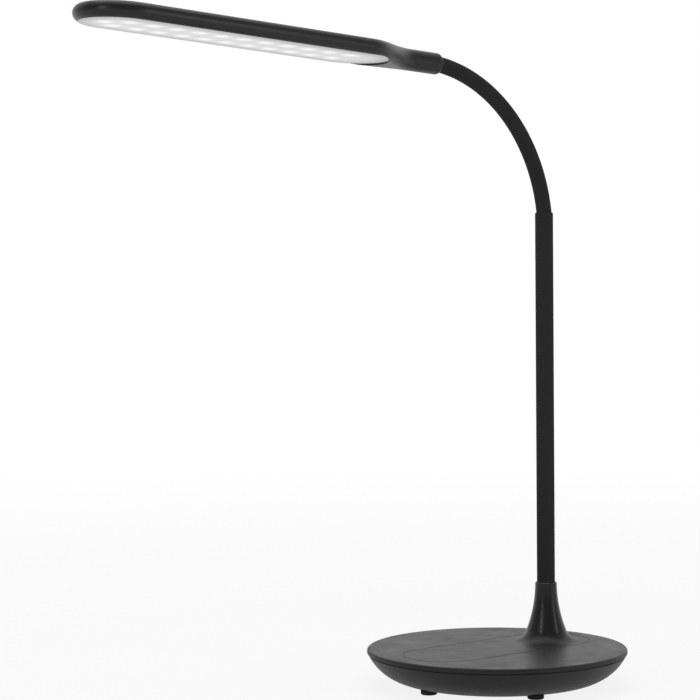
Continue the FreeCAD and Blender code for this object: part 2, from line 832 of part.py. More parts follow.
def make_driver_parts(board_upper):
    """Two coils, two capacitors and a chip in a row between the board's standoffs."""
    top = board_upper.value
    room = panel_underside - touch_board_thickness - board_upper
    part_height = room - driver_part_gap
    step = driver_board_length / 24
    coil_x, capacitor_x, chip_x = (
        (driver_board_front + step * count).value for count in (6, 11, 15.5)
    )
    solids = []
    for i, y in enumerate((-driver_part_spread.value, driver_part_spread.value)):
        coil = cylinder(f"coil_{i}", coil_radius, part_height, at(coil_x, y, top))
        place = at(capacitor_x, y, top)
        capacitor = cylinder(f"capacitor_{i}", capacitor_radius, part_height, place)
        solids += [coil, capacitor]
    place = at(chip_x, -chip_side.value / 2, top)
    solids.append(block("chip", chip_side, chip_side, part_height * 7 / 12, place))
    group("driver_parts", solids)


# Touch board, flat against the underside of the control panel.
def make_touch_board():
    body = new_body("touch_board")
    board = new_sketch(body, "XY_Plane", "TouchBoardSketch", panel_underside)
    half = touch_board_width / 2
    rectangle(board, touch_board_front, -half, touch_board_length, touch_board_width)
    pad(body, board, "TouchBoard", touch_board_thickness, reverse=True)


# Power jack behind the rear wall: a round barrel with a centre pin.
def make_jack():
    body = new_body("dc_jack")
    body.Placement = Placement(Vector(0, 0, inlet_height.value), Rotation(ACROSS, 90))
    body.setExpression(".Placement.Base.z", inlet_height.formula)
    profile = new_sketch(body, "XZ_Plane", "JackProfile")
    bore_floor = inlet_face - jack_bore_depth
    pin_end = inlet_face - 1
    outline(
        profile,
        [
            (zero, inlet_inner_end),
            (jack_radius, inlet_inner_end),
            (jack_radius, inlet_face),
            (jack_bore_radius, inlet_face),
            (jack_bore_radius, bore_floor),
            (jack_pin_radius, bore_floor),
            (jack_pin_radius, pin_end),
            (zero, pin_end),
        ],
    )
    revolve(body, profile, "Jack")
    return body


# The neck's middle line: straight in the stem, a short bend in its mouth, one long even bend, a
# short bend in the collar's mouth, and straight in the head.
start_lean = math.radians(neck_start_angle.value)
end_lean = math.radians(neck_end_angle.value)
head_lean = math.radians(90.0 - head_tilt.value)


def heading(lean):
    return Vector(-math.sin(lean), 0, math.cos(lean))


def outward(lean):
    return Vector(math.cos(lean), 0, math.sin(lean))


def bend_centre(point, lean, radius):
    return point - outward(lean) * radius


neck_root = Vector(stem_offset.value, 0, stem_top_height.value - mouth_depth.value)
mouth_centre = bend_centre(neck_root, 0.0, mouth_curve.value)
bend_start = mouth_centre + outward(start_lean) * mouth_curve.value
long_centre = bend_centre(bend_start, start_lean, neck_curve.value)
bend_end = long_centre + outward(end_lean) * neck_curve.value
collar_centre = bend_centre(bend_end, end_lean, collar_curve.value)
collar_bend_end = collar_centre + outward(head_lean) * collar_curve.value
collar_bend_length = collar_curve.value * (head_lean - end_lean)
head_origin = collar_bend_end - heading(head_lean) * (collar_bend_length / 2)
head_rotation = Rotation(ACROSS, head_tilt.value).multiply(Rotation(UP, 180))
head_place = Placement(head_origin, head_rotation)


def neck_line(below, beyond):
    """The middle line, from below the stem's mouth to beyond the collar's bend."""
    points = [neck_root - UP * below, neck_root]
    edges = [Part.LineSegment(*points).toShape()]
    bends = (
        (mouth_centre, mouth_curve.value, 0.0, start_lean),
        (long_centre, neck_curve.value, start_lean, end_lean),
        (collar_centre, collar_curve.value, end_lean, head_lean),
    )
    for centre, radius, first, last in bends:
        ends = [centre + outward(lean) * radius for lean in (first, (first + last) / 2, last)]
        edges.append(Part.Arc(*ends).toShape())
    finish = collar_bend_end + heading(head_lean) * beyond
    edges.append(Part.LineSegment(collar_bend_end, finish).toShape())
    return Part.Wire(edges)


def piped(line, radius, shift=0.0):
    start = line.Vertexes[0].Point + ACROSS * shift
    circle = Part.Wire(Part.makeCircle(radius, start, UP))
    path = line.translated(ACROSS * shift)
    return path.makePipeShell([circle], True, False)


ferrule_top = stem_top_height - ferrule_top_drop
spigot_foot = ferrule_top - ferrule_spigot
collar_mouth = collar_bend_length / 2


# Sleeve: one soft tube from inside the stem's mouth to inside the collar.
def make_sleeve():
    below = neck_root.z - spigot_foot.value
    beyond = ferrule_spigot.value - collar_mouth + 1.0
    line = neck_line(below, beyond)
    outer = piped(line, neck_radius.value)
    inner = piped(line, sleeve_bore.value)
    moulded("neck_sleeve", outer.cut(inner))


# Two wires through stem, neck and collar to the light board.
def make_wires():
    below = neck_root.z - ballast_top.value - 2.0
    beyond = led_board_rear() - fit_gap.value - collar_mouth
    line = neck_line(below, beyond)
    gap = wire_half_gap.value
    wires = [piped(line, wire_radius.value, shift) for shift in (-gap, gap)]
    moulded("neck_wires", Part.makeCompound(wires))


# Core: the stiff wound hose in the sleeve, as short lengths that each bend against the next.
def make_core():
    step = (end_lean - start_lean) / neck_links
    chord = 2 * neck_curve.value * math.sin(step / 2)
    for i in range(neck_links):
        lean = start_lean + (i + 0.5) * step
        start = long_centre + outward(start_lean + i * step) * neck_curve.value
        body = new_body(f"neck_core_{i + 1:02d}")
        body.Placement = Placement(start, Rotation(ACROSS, -math.degrees(lean)))
        low = core_gap / 2
        high = as_size(chord) - low
        profile = new_sketch(body, "XZ_Plane", f"CoreProfile{i + 1}")
        outline(
            profile,
            [
                (core_bore, low),
                (core_radius - core_bevel, low),
                (core_radius, low + core_bevel),
                (core_radius, high - core_bevel),
                (core_radius - core_bevel, high),
                (core_bore, high),
            ],
        )
        revolve(body, profile, f"Core{i + 1}")


# Root ferrule: pressed into the stem's mouth, with a spigot for the sleeve.
def make_root_ferrule():
    body = new_body("root_ferrule")
    body.Placement = at(stem_offset.value, 0, 0)
    body.setExpression(".Placement.Base.x", stem_offset.formula)
    profile = new_sketch(body, "XZ_Plane", "RootFerruleProfile")
    outer = stem_radius - stem_wall - slip_gap
    outline(
        profile,
        [
            (core_bore, spigot_foot - ferrule_length),
            (outer, spigot_foot - ferrule_length),
            (outer, spigot_foot - fit_gap),
            (core_radius, spigot_foot - fit_gap),
            (core_radius, ferrule_top),
            (core_bore, ferrule_top),
        ],
    )
    revolve(body, profile, "RootFerrule")


# End ferrule: a threaded bush in the collar, drawn tight by a nut inside the head.
def make_end_ferrule():
    body = new_body("end_ferrule")
    body.Placement = head_place.multiply(Placement(Vector(), Rotation(ACROSS, 90)))
    profile = new_sketch(body, "XZ_Plane", "EndFerruleProfile")
    spigot_start = as_size(2.0)
    shoulder = ferrule_spigot + 1.2
    thread_end = collar_web_end + nut_thickness + 0.6
    outline(
        profile,
        [
            (core_bore, spigot_start),
            (core_radius, spigot_start),
            (core_radius, shoulder),
            (collar_bore - slip_gap, shoulder),
            (collar_bore - slip_gap, collar_web_start),
            (ferrule_thread_radius, collar_web_start),
            (ferrule_thread_radius, thread_end),
            (core_bore, thread_end),
        ],
    )
    revolve(body, profile, "EndFerrule")

    nut = new_body("ferrule_nut")
    nut.Placement = head_place.multiply(Placement(Vector(), Rotation(ACROSS, 90)))
    sketch = new_sketch(nut, "XY_Plane", "NutSketch", collar_web_end + fit_gap)
    half_side = nut_half_width * round(math.tan(math.radians(30)), 6)
    corner = nut_half_width * round(1 / math.cos(math.radians(30)), 6)
    outline(
        sketch,
        [
            (nut_half_width, -half_side),
            (nut_half_width, half_side),
            (zero, corner),
            (-nut_half_width, half_side),
            (-nut_half_width, -half_side),
            (zero, -corner),
        ],
    )
    disc(sketch, zero, zero, ferrule_thread_radius + slip_gap)
    pad(nut, sketch, "Nut", nut_thickness)


def smooth(share):
    share = min(max(share, 0.0), 1.0)
    return share * share * (3 - 2 * share)


def head_section(x, inset=0.0):
    """Half width, half height and middle height of the head at x, in the head's frame."""
    share = smooth((x - collar_length.value) / (shoulder_end.value - collar_length.value))
    width = collar_radius.value + share * (head_half_width.value - collar_radius.value)
    height = collar_radius.value + share * (head_half_height.value - collar_radius.value)
    return width - inset, height - inset, share * head_rise.value


def section_wire(x, inset=0.0):
    """The head's closed section: flat top and underside with half-round sides."""
    width, height, middle = head_section(x, inset)
    flat = width - height
    top, bottom = middle + height, middle - height

    def spot(y, z):
        return Vector(x, y, z)

    def on_side(side, angle):
        y = side * (flat + height * math.cos(angle))
        return spot(y, middle + height * math.sin(angle))

    seam = math.radians(3)
    if flat < 0.2:
        flat = 0.0
        upper = Part.Arc(on_side(-1, math.pi / 2 - seam), spot(0, top), on_side(1, math.pi / 2 - seam))
        lower = Part.Arc(
            on_side(1, seam - math.pi / 2), spot(0, bottom), on_side(-1, seam - math.pi / 2)
        )
        steep = math.pi / 2 - seam
    else:
        upper = Part.LineSegment(spot(-flat, top), spot(flat, top))
        lower = Part.LineSegment(spot(flat, bottom), spot(-flat, bottom))
        steep = math.pi / 2
    edges = [upper]
    for side, first in ((1, steep), (-1, -steep)):
        for start, end in ((first, 0.0), (0.0, -first)):
            halfway = (start + end) / 2
            ends = [on_side(side, angle) for angle in (start, halfway, end)]
            edges.append(Part.Arc(*ends))
        if side == 1:
            edges.append(lower)
    return Part.Wire([edge.toShape() for edge in edges])


def head_solid():
    """The head's full outer form."""
    radius = collar_radius.value
    turn = collar_round.value
    length = collar_length.value
    collar_edges = [
        Part.LineSegment(Vector(0, 0, 0), Vector(0, 0, radius - turn)),
        Part.Arc(
            Vector(0, 0, radius - turn),
            Vector(turn - turn * math.sqrt(0.5), 0, radius - turn + turn * math.sqrt(0.5)),
            Vector(turn, 0, radius),
        ),
        Part.LineSegment(Vector(turn, 0, radius), Vector(length, 0, radius)),
        Part.LineSegment(Vector(length, 0, radius), Vector(length, 0, 0)),
        Part.LineSegment(Vector(length, 0, 0), Vector(0, 0, 0)),
    ]
    collar_face = Part.Face(Part.Wire([edge.toShape() for edge in collar_edges]))
    collar = collar_face.revolve(Vector(), ALONG, 360)

    stations = 7
    span = shoulder_end.value - length
    wires = [section_wire(length + span * i / stations) for i in range(stations + 1)]
    shoulder = Part.makeLoft(wires, True, False)

    full = Part.Face(section_wire(shoulder_end.value))
    bar = full.extrude(ALONG * (tip_centre.value - shoulder_end.value))

    width, height, middle = head_section(shoulder_end.value)
    flat = width - height
    x = tip_centre.value
    corners = [
        Vector(x, 0, middle + height),
        Vector(x, flat, middle + height),
        Vector(x, width, middle),
        Vector(x, flat, middle - height),
        Vector(x, 0, middle - height),
    ]
    half_edges = [
        Part.LineSegment(corners[0], corners[1]),
        Part.Arc(corners[1], corners[2], corners[3]),
        Part.LineSegment(corners[3], corners[4]),
        Part.LineSegment(corners[4], corners[0]),
    ]
    half = Part.Face(Part.Wire([edge.toShape() for edge in half_edges]))
    tip = half.revolve(Vector(x, 0, 0), UP, -180)
    return collar.fuse([shoulder, bar, tip]).removeSplitter()


def flat_racetrack(rear, front, radius, low, high):
    """A racetrack block between two heights, in the head's frame."""
    edges = [
        Part.LineSegment(Vector(rear, -radius, low), Vector(front, -radius, low)),
        Part.Arc(
            Vector(front, -radius, low), Vector(front + radius, 0, low), Vector(front, radius, low)
        ),
        Part.LineSegment(Vector(front, radius, low), Vector(rear, radius, low)),
        Part.Arc(Vector(rear, radius, low), Vector(rear - radius, 0, low), Vector(rear, -radius, low)),
    ]
    face = Part.Face(Part.Wire([edge.toShape() for edge in edges]))
    return face.extrude(UP * (high - low))


low_side = head_rise - head_half_height
underside = low_side.value
ceiling = head_rise.value + head_half_height.value - head_wall.value
seat_height = underside + diffuser_thickness.value
board_top = seat_height + (led_gap + led_height + led_board_thickness).value
cavity_radius = diffuser_half_width.value + fit_gap.value - diffuser_ledge.value
seat_radius = diffuser_half_width.value + fit_gap.value
hollow_end = diffuser_rear_centre.value - seat_radius - head_wall.value


def cover_block(grow):
    """The neck cover's plan as a tall block, from the collar to the wall beside the diffuser."""
    rear = cover_rear.value - grow
    front = hollow_end - diffuser_ledge.value / 2 + grow
    stations = [rear + (front - rear) * i / 5 for i in range(6)]
    side = [Vector(x, head_section(x)[0] - cover_inset.value + grow, -20) for x in stations]
    other_side = [Vector(point.x, -point.y, point.z) for point in reversed(side)]
    near_curve = Part.BSplineCurve()
    near_curve.interpolate(side)
    far_curve = Part.BSplineCurve()
    far_curve.interpolate(other_side)
    edges = [
        near_curve,
        Part.LineSegment(side[-1], other_side[0]),
        far_curve,
        Part.LineSegment(other_side[-1], side[0]),
    ]
    face = Part.Face(Part.Wire([edge.toShape() for edge in edges]))
    return face.extrude(UP * (20 - cover_top.value + grow))


def led_board_rear():
    return diffuser_rear_centre.value - cavity_radius + led_board_inset.value


def board_screw_spots():
    centre = led_first.value + led_step.value * (led_rows - 1) / 2
    for i in (-1.5, -0.5, 0.5, 1.5):
        yield centre + i * led_step.value * 3


def neck_hollow():
    """The hollow of the shoulder, one wall inside its outer form."""
    first = collar_web_end.value
    span = hollow_end - first
    stations = [first + span * i / 5 for i in range(6)]
    return Part.makeLoft([section_wire(x, head_wall.value) for x in stations], True, False)


# Housing: one moulded shell, open below, that narrows in an S-shaped shoulder to the round collar.
def make_housing(outer):
    rear, tip = diffuser_rear_centre.value, tip_centre.value
    cavity = flat_racetrack(rear, tip, cavity_radius, seat_height - 0.1, ceiling)
    seat = flat_racetrack(rear, tip, seat_radius, -20, seat_height)
    bore = Part.makeCylinder(collar_bore.value, collar_web_start.value, Vector(), ALONG)
    hole_radius = ferrule_thread_radius.value + slip_gap.value
    hole = Part.makeCylinder(hole_radius, collar_web_end.value + 1, Vector(), ALONG)
    way_start = Vector(hollow_end - 1, 0, 0)
    way_length = rear - cavity_radius + 2 - way_start.x
    wire_way = Part.makeCylinder(wire_way_radius.value, way_length, way_start, ALONG)
    cut = neck_hollow().fuse([cavity, seat, bore, hole, wire_way])
    shell = outer.cut(cut).cut(cover_block(fit_gap.value))
    bosses = []
    for x in board_screw_spots():
        post = Part.makeCylinder(2.8, ceiling - board_top + 0.5, Vector(x, 0, board_top))
        pilot_radius = small_screw_radius.value + slip_gap.value
        pilot_depth = ceiling - board_top - 0.4
        pilot = Part.makeCylinder(pilot_radius, pilot_depth, Vector(x, 0, board_top))
        bosses.append(post.cut(pilot))
    shell = shell.fuse(bosses)
    return moulded("head_housing", shell, head_place)


# Neck cover: closes the underside between the diffuser and the collar.
def make_neck_cover(outer):
    cover = outer.common(cover_block(0.0)).cut(neck_hollow())
    return moulded("neck_cover", cover, head_place)


# Diffuser: a milky plate, flush with the underside.
def make_diffuser():
    body = new_body("diffuser")
    body.Placement = head_place
    sketch = new_sketch(body, "XY_Plane", "DiffuserSketch", low_side)
    racetrack(sketch, diffuser_rear_centre, tip_centre, diffuser_half_width)
    pad(body, sketch, "Diffuser", diffuser_thickness)


# Light board with its sources and screws.
def make_lights():
    body = new_body("led_board")
    body.Placement = head_place
    board_upper = low_side + diffuser_thickness + led_gap + led_height + led_board_thickness
    board_radius = diffuser_half_width + fit_gap - diffuser_ledge - led_board_inset
    sketch = new_sketch(body, "XY_Plane", "LightBoardSketch", board_upper)
    racetrack(sketch, diffuser_rear_centre, tip_centre, board_radius)
    pad(body, sketch, "LightBoard", led_board_thickness, reverse=True)
    holes = new_sketch(body, "XY_Plane", "LightBoardHoleSketch", board_upper)
    centre = led_first + led_step * ((led_rows - 1) / 2)
    for i in (-1.5, -0.5, 0.5, 1.5):
        disc(holes, centre + led_step * (3 * i), zero, small_screw_radius + slip_gap)
    pocket(body, holes, "LightBoardHoles", led_board_thickness + 1)

    board_under = board_upper.value - led_board_thickness.value
    half = led_size.value / 2
    spots = [(led_tip.value, 0.0)]
    for i in range(led_rows):
        for side in (-1, 1):
            spots.append((led_first.value + i * led_step.value, side * led_half_gap.value))
    lights = []
    for i, (x, y) in enumerate(spots):
        local = at(x - half, y - half, board_under - led_height.value)
        place = head_place.multiply(local)
        lights.append(block(f"light_{i}", led_size, led_size, led_height, place))
    group("leds", lights)

    places = [head_place.multiply(at(x, 0, board_under)) for x in board_screw_spots()]
    flat_head = as_size(1.0)
    length = led_board_thickness + head_half_height * 2 - head_wall - diffuser_thickness
    length = length - led_gap - led_height - led_board_thickness - 0.8
    screws("led_board_screws", small_screw_head_radius, flat_head, small_screw_radius, length, places)


make_bowl()
make_deck()
make_panel()
make_feet()
make_base_screws()
make_ballast()
make_ballast_screws()
make_bracket()
make_bracket_screws()
make_stem()
make_driver_board()
make_touch_board()
make_jack()
make_root_ferrule()
make_core()
make_sleeve()
make_wires()
make_end_ferrule()
head_form = head_solid()
make_housing(head_form)
make_neck_cover(head_form)
make_diffuser()
make_lights()

document.recompute()
broken = [
    item.Name for item in document.Objects if {"Invalid", "Error"} & set(getattr(item, "State", []))
]
if broken:
    raise RuntimeError(f"objects that failed: {broken}")
for piece in pieces:
    if piece.Shape.isNull() or not piece.Shape.isValid() or not piece.Shape.Solids:
        raise RuntimeError(f"no valid solid: {piece.Label}")

os.makedirs("parts", exist_ok=True)
for piece in pieces:
    piece.Shape.exportStep(f"parts/{piece.Label}.step")
    print(f"{piece.Label}: {len(piece.Shape.Solids)} solids, {piece.Shape.Volume:.1f} mm3")
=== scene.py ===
import math

import bmesh
import bpy
from mathutils import Matrix, Vector


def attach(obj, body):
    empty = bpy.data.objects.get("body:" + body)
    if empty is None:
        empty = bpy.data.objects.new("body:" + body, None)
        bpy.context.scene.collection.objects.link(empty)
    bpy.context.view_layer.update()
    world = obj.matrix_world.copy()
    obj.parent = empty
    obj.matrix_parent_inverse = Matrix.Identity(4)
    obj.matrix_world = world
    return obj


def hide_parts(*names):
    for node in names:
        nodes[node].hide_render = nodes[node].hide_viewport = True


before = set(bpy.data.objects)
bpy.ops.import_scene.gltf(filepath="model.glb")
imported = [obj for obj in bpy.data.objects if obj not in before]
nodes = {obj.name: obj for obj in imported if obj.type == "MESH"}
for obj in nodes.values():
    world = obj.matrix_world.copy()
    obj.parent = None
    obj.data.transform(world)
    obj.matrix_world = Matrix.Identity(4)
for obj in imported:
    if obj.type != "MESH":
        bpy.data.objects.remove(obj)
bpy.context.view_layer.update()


# Bowl of the base: a thin dark shell moulded in one piece, with a fine spark-eroded grain.
# It carries everything else and is closed by the cover, so only its side and underside show.
def effect_group(name, inputs, outputs):
    """An empty shader group with named sockets and their first values."""
    group = bpy.data.node_groups.new(name, "ShaderNodeTree")
    for label, kind, value in inputs:
        socket = group.interface.new_socket(label, in_out="INPUT", socket_type=kind)
        if value is not None:
            socket.default_value = value
    for label, kind in outputs:
        group.interface.new_socket(label, in_out="OUTPUT", socket_type=kind)
    entry = group.nodes.new("NodeGroupInput")
    leave = group.nodes.new("NodeGroupOutput")
    return group, entry, leave


def wire(tree, source, target):
    tree.links.new(source, target)


def math_node(tree, operation, first, second=None, third=None, clamp=False):
    """One arithmetic step. Sockets are linked and plain numbers are typed in."""
    node = tree.nodes.new("ShaderNodeMath")
    node.operation = operation
    node.use_clamp = clamp
    for place, value in enumerate((first, second, third)):
        if value is None:
            continue
        if isinstance(value, (int, float)):
            node.inputs[place].default_value = value
        else:
            wire(tree, value, node.inputs[place])
    return node.outputs[0]


def build_moulding_grain():
    """Grain of a spark-eroded mould: tiny pits, and a slow drift in tone and gloss."""
    group, entry, leave = effect_group(
        "MouldingGrain",
        [
            ("Grain size", "NodeSocketFloat", 1800.0),
            ("Drift size", "NodeSocketFloat", 14.0),
            ("Drift", "NodeSocketFloat", 0.08),
        ],
        [("Height", "NodeSocketFloat"), ("Tone", "NodeSocketFloat"), ("Gloss", "NodeSocketFloat")],
    )
    place = group.nodes.new("ShaderNodeTexCoord")
    pits = group.nodes.new("ShaderNodeTexNoise")
    pits.inputs["Detail"].default_value = 2.0
    pits.inputs["Roughness"].default_value = 0.6
    wire(group, place.outputs["Object"], pits.inputs["Vector"])
    wire(group, entry.outputs["Grain size"], pits.inputs["Scale"])
    drift = group.nodes.new("ShaderNodeTexNoise")
    drift.inputs["Detail"].default_value = 3.0
    wire(group, place.outputs["Object"], drift.inputs["Vector"])
    wire(group, entry.outputs["Drift size"], drift.inputs["Scale"])
    centred = math_node(group, "SUBTRACT", drift.outputs["Fac"], 0.5)
    scaled = math_node(group, "MULTIPLY", centred, entry.outputs["Drift"])
    tone = math_node(group, "ADD", scaled, 1.0)
    pitted = math_node(group, "SUBTRACT", pits.outputs["Fac"], 0.5)
    gloss = math_node(group, "MULTIPLY_ADD", pitted, 0.12, scaled)
    wire(group, pits.outputs["Fac"], leave.inputs["Height"])
    wire(group, tone, leave.inputs["Tone"])
    wire(group, gloss, leave.inputs["Gloss"])
    return group


def build_edge_burnish_and_highlight():
    """Corners of a moulding or a plated part, 1 on an edge: handling burnishes them, and the same
    mask paints a highlight on them.
    """
    group, entry, leave = effect_group(
        "EdgeBurnishAndHighlight",
        [("Reach", "NodeSocketFloat", 0.0006), ("Amount", "NodeSocketFloat", 0.5)],
        [("Edge", "NodeSocketFloat")],
    )
    geometry = group.nodes.new("ShaderNodeNewGeometry")
    bevel = group.nodes.new("ShaderNodeBevel")
    bevel.samples = 4
    wire(group, entry.outputs["Reach"], bevel.inputs["Radius"])
    alike = group.nodes.new("ShaderNodeVectorMath")
    alike.operation = "DOT_PRODUCT"
    wire(group, geometry.outputs["Normal"], alike.inputs[0])
    wire(group, bevel.outputs["Normal"], alike.inputs[1])
    turned = math_node(group, "SUBTRACT", 1.0, alike.outputs["Value"])
    spread = math_node(group, "MULTIPLY", turned, 4.0, clamp=True)
    edge = math_node(group, "MULTIPLY", spread, entry.outputs["Amount"])
    wire(group, edge, leave.inputs["Edge"])
    return group


moulding_grain = build_moulding_grain()
edge_burnish_and_highlight = build_edge_burnish_and_highlight()


def new_material(name):
    material = bpy.data.materials.new(name)
    material.use_nodes = True
    return material, material.node_tree, material.node_tree.nodes["Principled BSDF"]


def placed_group(tree, group, **values):
    node = tree.nodes.new("ShaderNodeGroup")
    node.node_tree = group
    for label, value in values.items():
        node.inputs[label.replace("_", " ")].default_value = value
    return node


def tinted(tree, colour, factor):
    """The colour times a factor that changes over the surface."""
    node = tree.nodes.new("ShaderNodeVectorMath")
    node.operation = "SCALE"
    node.inputs[0].default_value = colour
    wire(tree, factor, node.inputs["Scale"])
    return node.outputs["Vector"]


def raise_surface(tree, shader, height, strength, distance):
    """Lets a height from 0 to 1 raise the surface by up to a distance."""
    bump = tree.nodes.new("ShaderNodeBump")
    bump.inputs["Strength"].default_value = strength
    bump.inputs["Distance"].default_value = distance
    wire(tree, height, bump.inputs["Height"])
    wire(tree, bump.outputs["Normal"], shader.inputs["Normal"])


def moulded_plastic(
    name, colour, roughness, grain_size, grain_depth, specular=0.5, drift=0.08, drift_size=14.0
):
    """Dark moulded plastic with a fine grain, edges that handling has burnished, and a painted
    highlight that lightens their colour.
    """
    material, tree, shader = new_material(name)
    grain = placed_group(
        tree, moulding_grain, Grain_size=grain_size, Drift_size=drift_size, Drift=drift
    )
    edges = placed_group(tree, edge_burnish_and_highlight, Reach=0.0005, Amount=0.22)
    # Painted highlight: the edge mask lightens the base colour along every edge.
    tone_with_painted_highlight = math_node(tree, "ADD", grain.outputs["Tone"], edges.outputs["Edge"])
    wire(tree, tinted(tree, colour, tone_with_painted_highlight), shader.inputs["Base Color"])
    rough = math_node(tree, "ADD", grain.outputs["Gloss"], roughness)
    worn = math_node(tree, "MULTIPLY_ADD", edges.outputs["Edge"], -0.25, rough)
    wire(tree, worn, shader.inputs["Roughness"])
    raise_surface(tree, shader, grain.outputs["Height"], 0.35, grain_depth)
    shader.inputs["Specular IOR Level"].default_value = specular
    return material


def finish_node(node, material):
    """Gives a solid of the frame its finish, in place of the plain one it came with."""
    mesh = nodes[node].data
    mesh.materials.clear()
    mesh.materials.append(material)


BOWL_COLOUR = (0.011, 0.011, 0.0118)
bowl_plastic = moulded_plastic("BowlPlastic", BOWL_COLOUR, 0.42, 2200.0, 0.00004, 0.32)
finish_node("base_bowl", bowl_plastic)


# Top cover of the base: a flat disc of the same plastic as the bowl, a little lighter where the
# light falls on it flat, with a rounded edge that overhangs the groove.
COVER_COLOUR = (0.016, 0.016, 0.017)
cover_plastic = moulded_plastic(
    "CoverPlastic", COVER_COLOUR, 0.44, 2200.0, 0.00005, 0.3, drift=0.22, drift_size=70.0
)
finish_node("base_deck", cover_plastic)


# Control panel: a flush racetrack plate that rises in one flare round the stem. Its plate has
# the cover's grain, and the flare is moulded smoother, so the lights draw upright lines on it.
def polish_above(material, height, reach, amount):
    """Smooths the finish from a height up, over a short reach."""
    tree = material.node_tree
    shader = tree.nodes["Principled BSDF"]
    rough = shader.inputs["Roughness"].links[0].from_socket
    place = tree.nodes.new("ShaderNodeTexCoord")
    parts = tree.nodes.new("ShaderNodeSeparateXYZ")
    wire(tree, place.outputs["Object"], parts.inputs["Vector"])
    over = math_node(tree, "SUBTRACT", parts.outputs["Z"], height)
    share = math_node(tree, "DIVIDE", over, reach, clamp=True)
    smoother = math_node(tree, "MULTIPLY_ADD", share, -amount, rough)
    wire(tree, smoother, shader.inputs["Roughness"])


PANEL_COLOUR = (0.017, 0.017, 0.018)
FLARE_FOOT = 0.0228
POLISH_REACH = 0.006
POLISH_AMOUNT = 0.19
panel_plastic = moulded_plastic(
    "PanelPlastic", PANEL_COLOUR, 0.45, 2400.0, 0.00004, 0.3, drift=0.18, drift_size=70.0
)
polish_above(panel_plastic, FLARE_FOOT, POLISH_REACH, POLISH_AMOUNT)
finish_node("control_panel", panel_plastic)


# Rubber feet: soft black rubber, dull, their colour lighter on the faces that turn down towards the
# desk.
def dull_rubber(name, colour, downward_lift):
    material, tree, shader = new_material(name)
    grain = placed_group(tree, moulding_grain, Grain_size=1500.0, Drift=0.15)
    geometry = tree.nodes.new("ShaderNodeNewGeometry")
    parts = tree.nodes.new("ShaderNodeSeparateXYZ")
    wire(tree, geometry.outputs["Normal"], parts.inputs["Vector"])
    facing_down = math_node(tree, "MULTIPLY", parts.outputs["Z"], -1.0, clamp=True)
    lighter_facing_down = math_node(tree, "MULTIPLY_ADD", facing_down, downward_lift, grain.outputs["Tone"])
    wire(tree, tinted(tree, colour, lighter_facing_down), shader.inputs["Base Color"])
    wire(tree, math_node(tree, "ADD", grain.outputs["Gloss"], 0.8), shader.inputs["Roughness"])
    raise_surface(tree, shader, grain.outputs["Height"], 0.5, 0.00006)
    shader.inputs["Specular IOR Level"].default_value = 0.3
    return material


finish_node("rubber_feet", dull_rubber("FootRubber", (0.030, 0.030, 0.030), 0.8))


# Steel pieces inside: the weight, the stem's bracket and all the screws. They are zinc plated,
# with a faint spangle, fine turning marks, and edges painted brighter as a highlight.
def plated_steel(name, colour, roughness, spangle):
    material, tree, shader = new_material(name)
    place = tree.nodes.new("ShaderNodeTexCoord")
    crystals = tree.nodes.new("ShaderNodeTexVoronoi")
    crystals.inputs["Scale"].default_value = spangle
    wire(tree, place.outputs["Object"], crystals.inputs["Vector"])
    marks = tree.nodes.new("ShaderNodeTexWave")
    marks.wave_type = "RINGS"
    marks.inputs["Scale"].default_value = 900.0
    marks.inputs["Distortion"].default_value = 1.5
    wire(tree, place.outputs["Object"], marks.inputs["Vector"])
    edges = placed_group(tree, edge_burnish_and_highlight, Reach=0.0004, Amount=0.4)
    tone = math_node(tree, "MULTIPLY_ADD", crystals.outputs["Distance"], 0.12, 0.92)
    # Painted highlight: the edge mask lightens the base colour along every edge.
    brighter = math_node(tree, "ADD", tone, edges.outputs["Edge"])
    wire(tree, tinted(tree, colour, brighter), shader.inputs["Base Color"])
    rough = math_node(tree, "MULTIPLY_ADD", crystals.outputs["Distance"], 0.15, roughness)
    wire(tree, rough, shader.inputs["Roughness"])
    raise_surface(tree, shader, marks.outputs["Fac"], 0.15, 0.00002)
    shader.inputs["Metallic"].default_value = 1.0
    return material


zinc_steel = plated_steel("ZincSteel", (0.55, 0.56, 0.58), 0.32, 260.0)
raw_steel = plated_steel("RawSteel", (0.34, 0.34, 0.35), 0.45, 120.0)
finish_node("ballast_plate", raw_steel)
for name in (
    "stem_bracket",
    "base_screws",
    "ballast_screws",
    "bracket_screws",
    "board_screws",
    "led_board_screws",
    "ferrule_nut",
):
    finish_node(name, zinc_steel)


# Brass turned parts: the driver board's standoffs and the ferrules at both ends of the neck.
turned_brass = plated_steel("TurnedBrass", (0.62, 0.46, 0.20), 0.30, 400.0)
for name in ("board_standoffs", "root_ferrule", "end_ferrule"):
    finish_node(name, turned_brass)


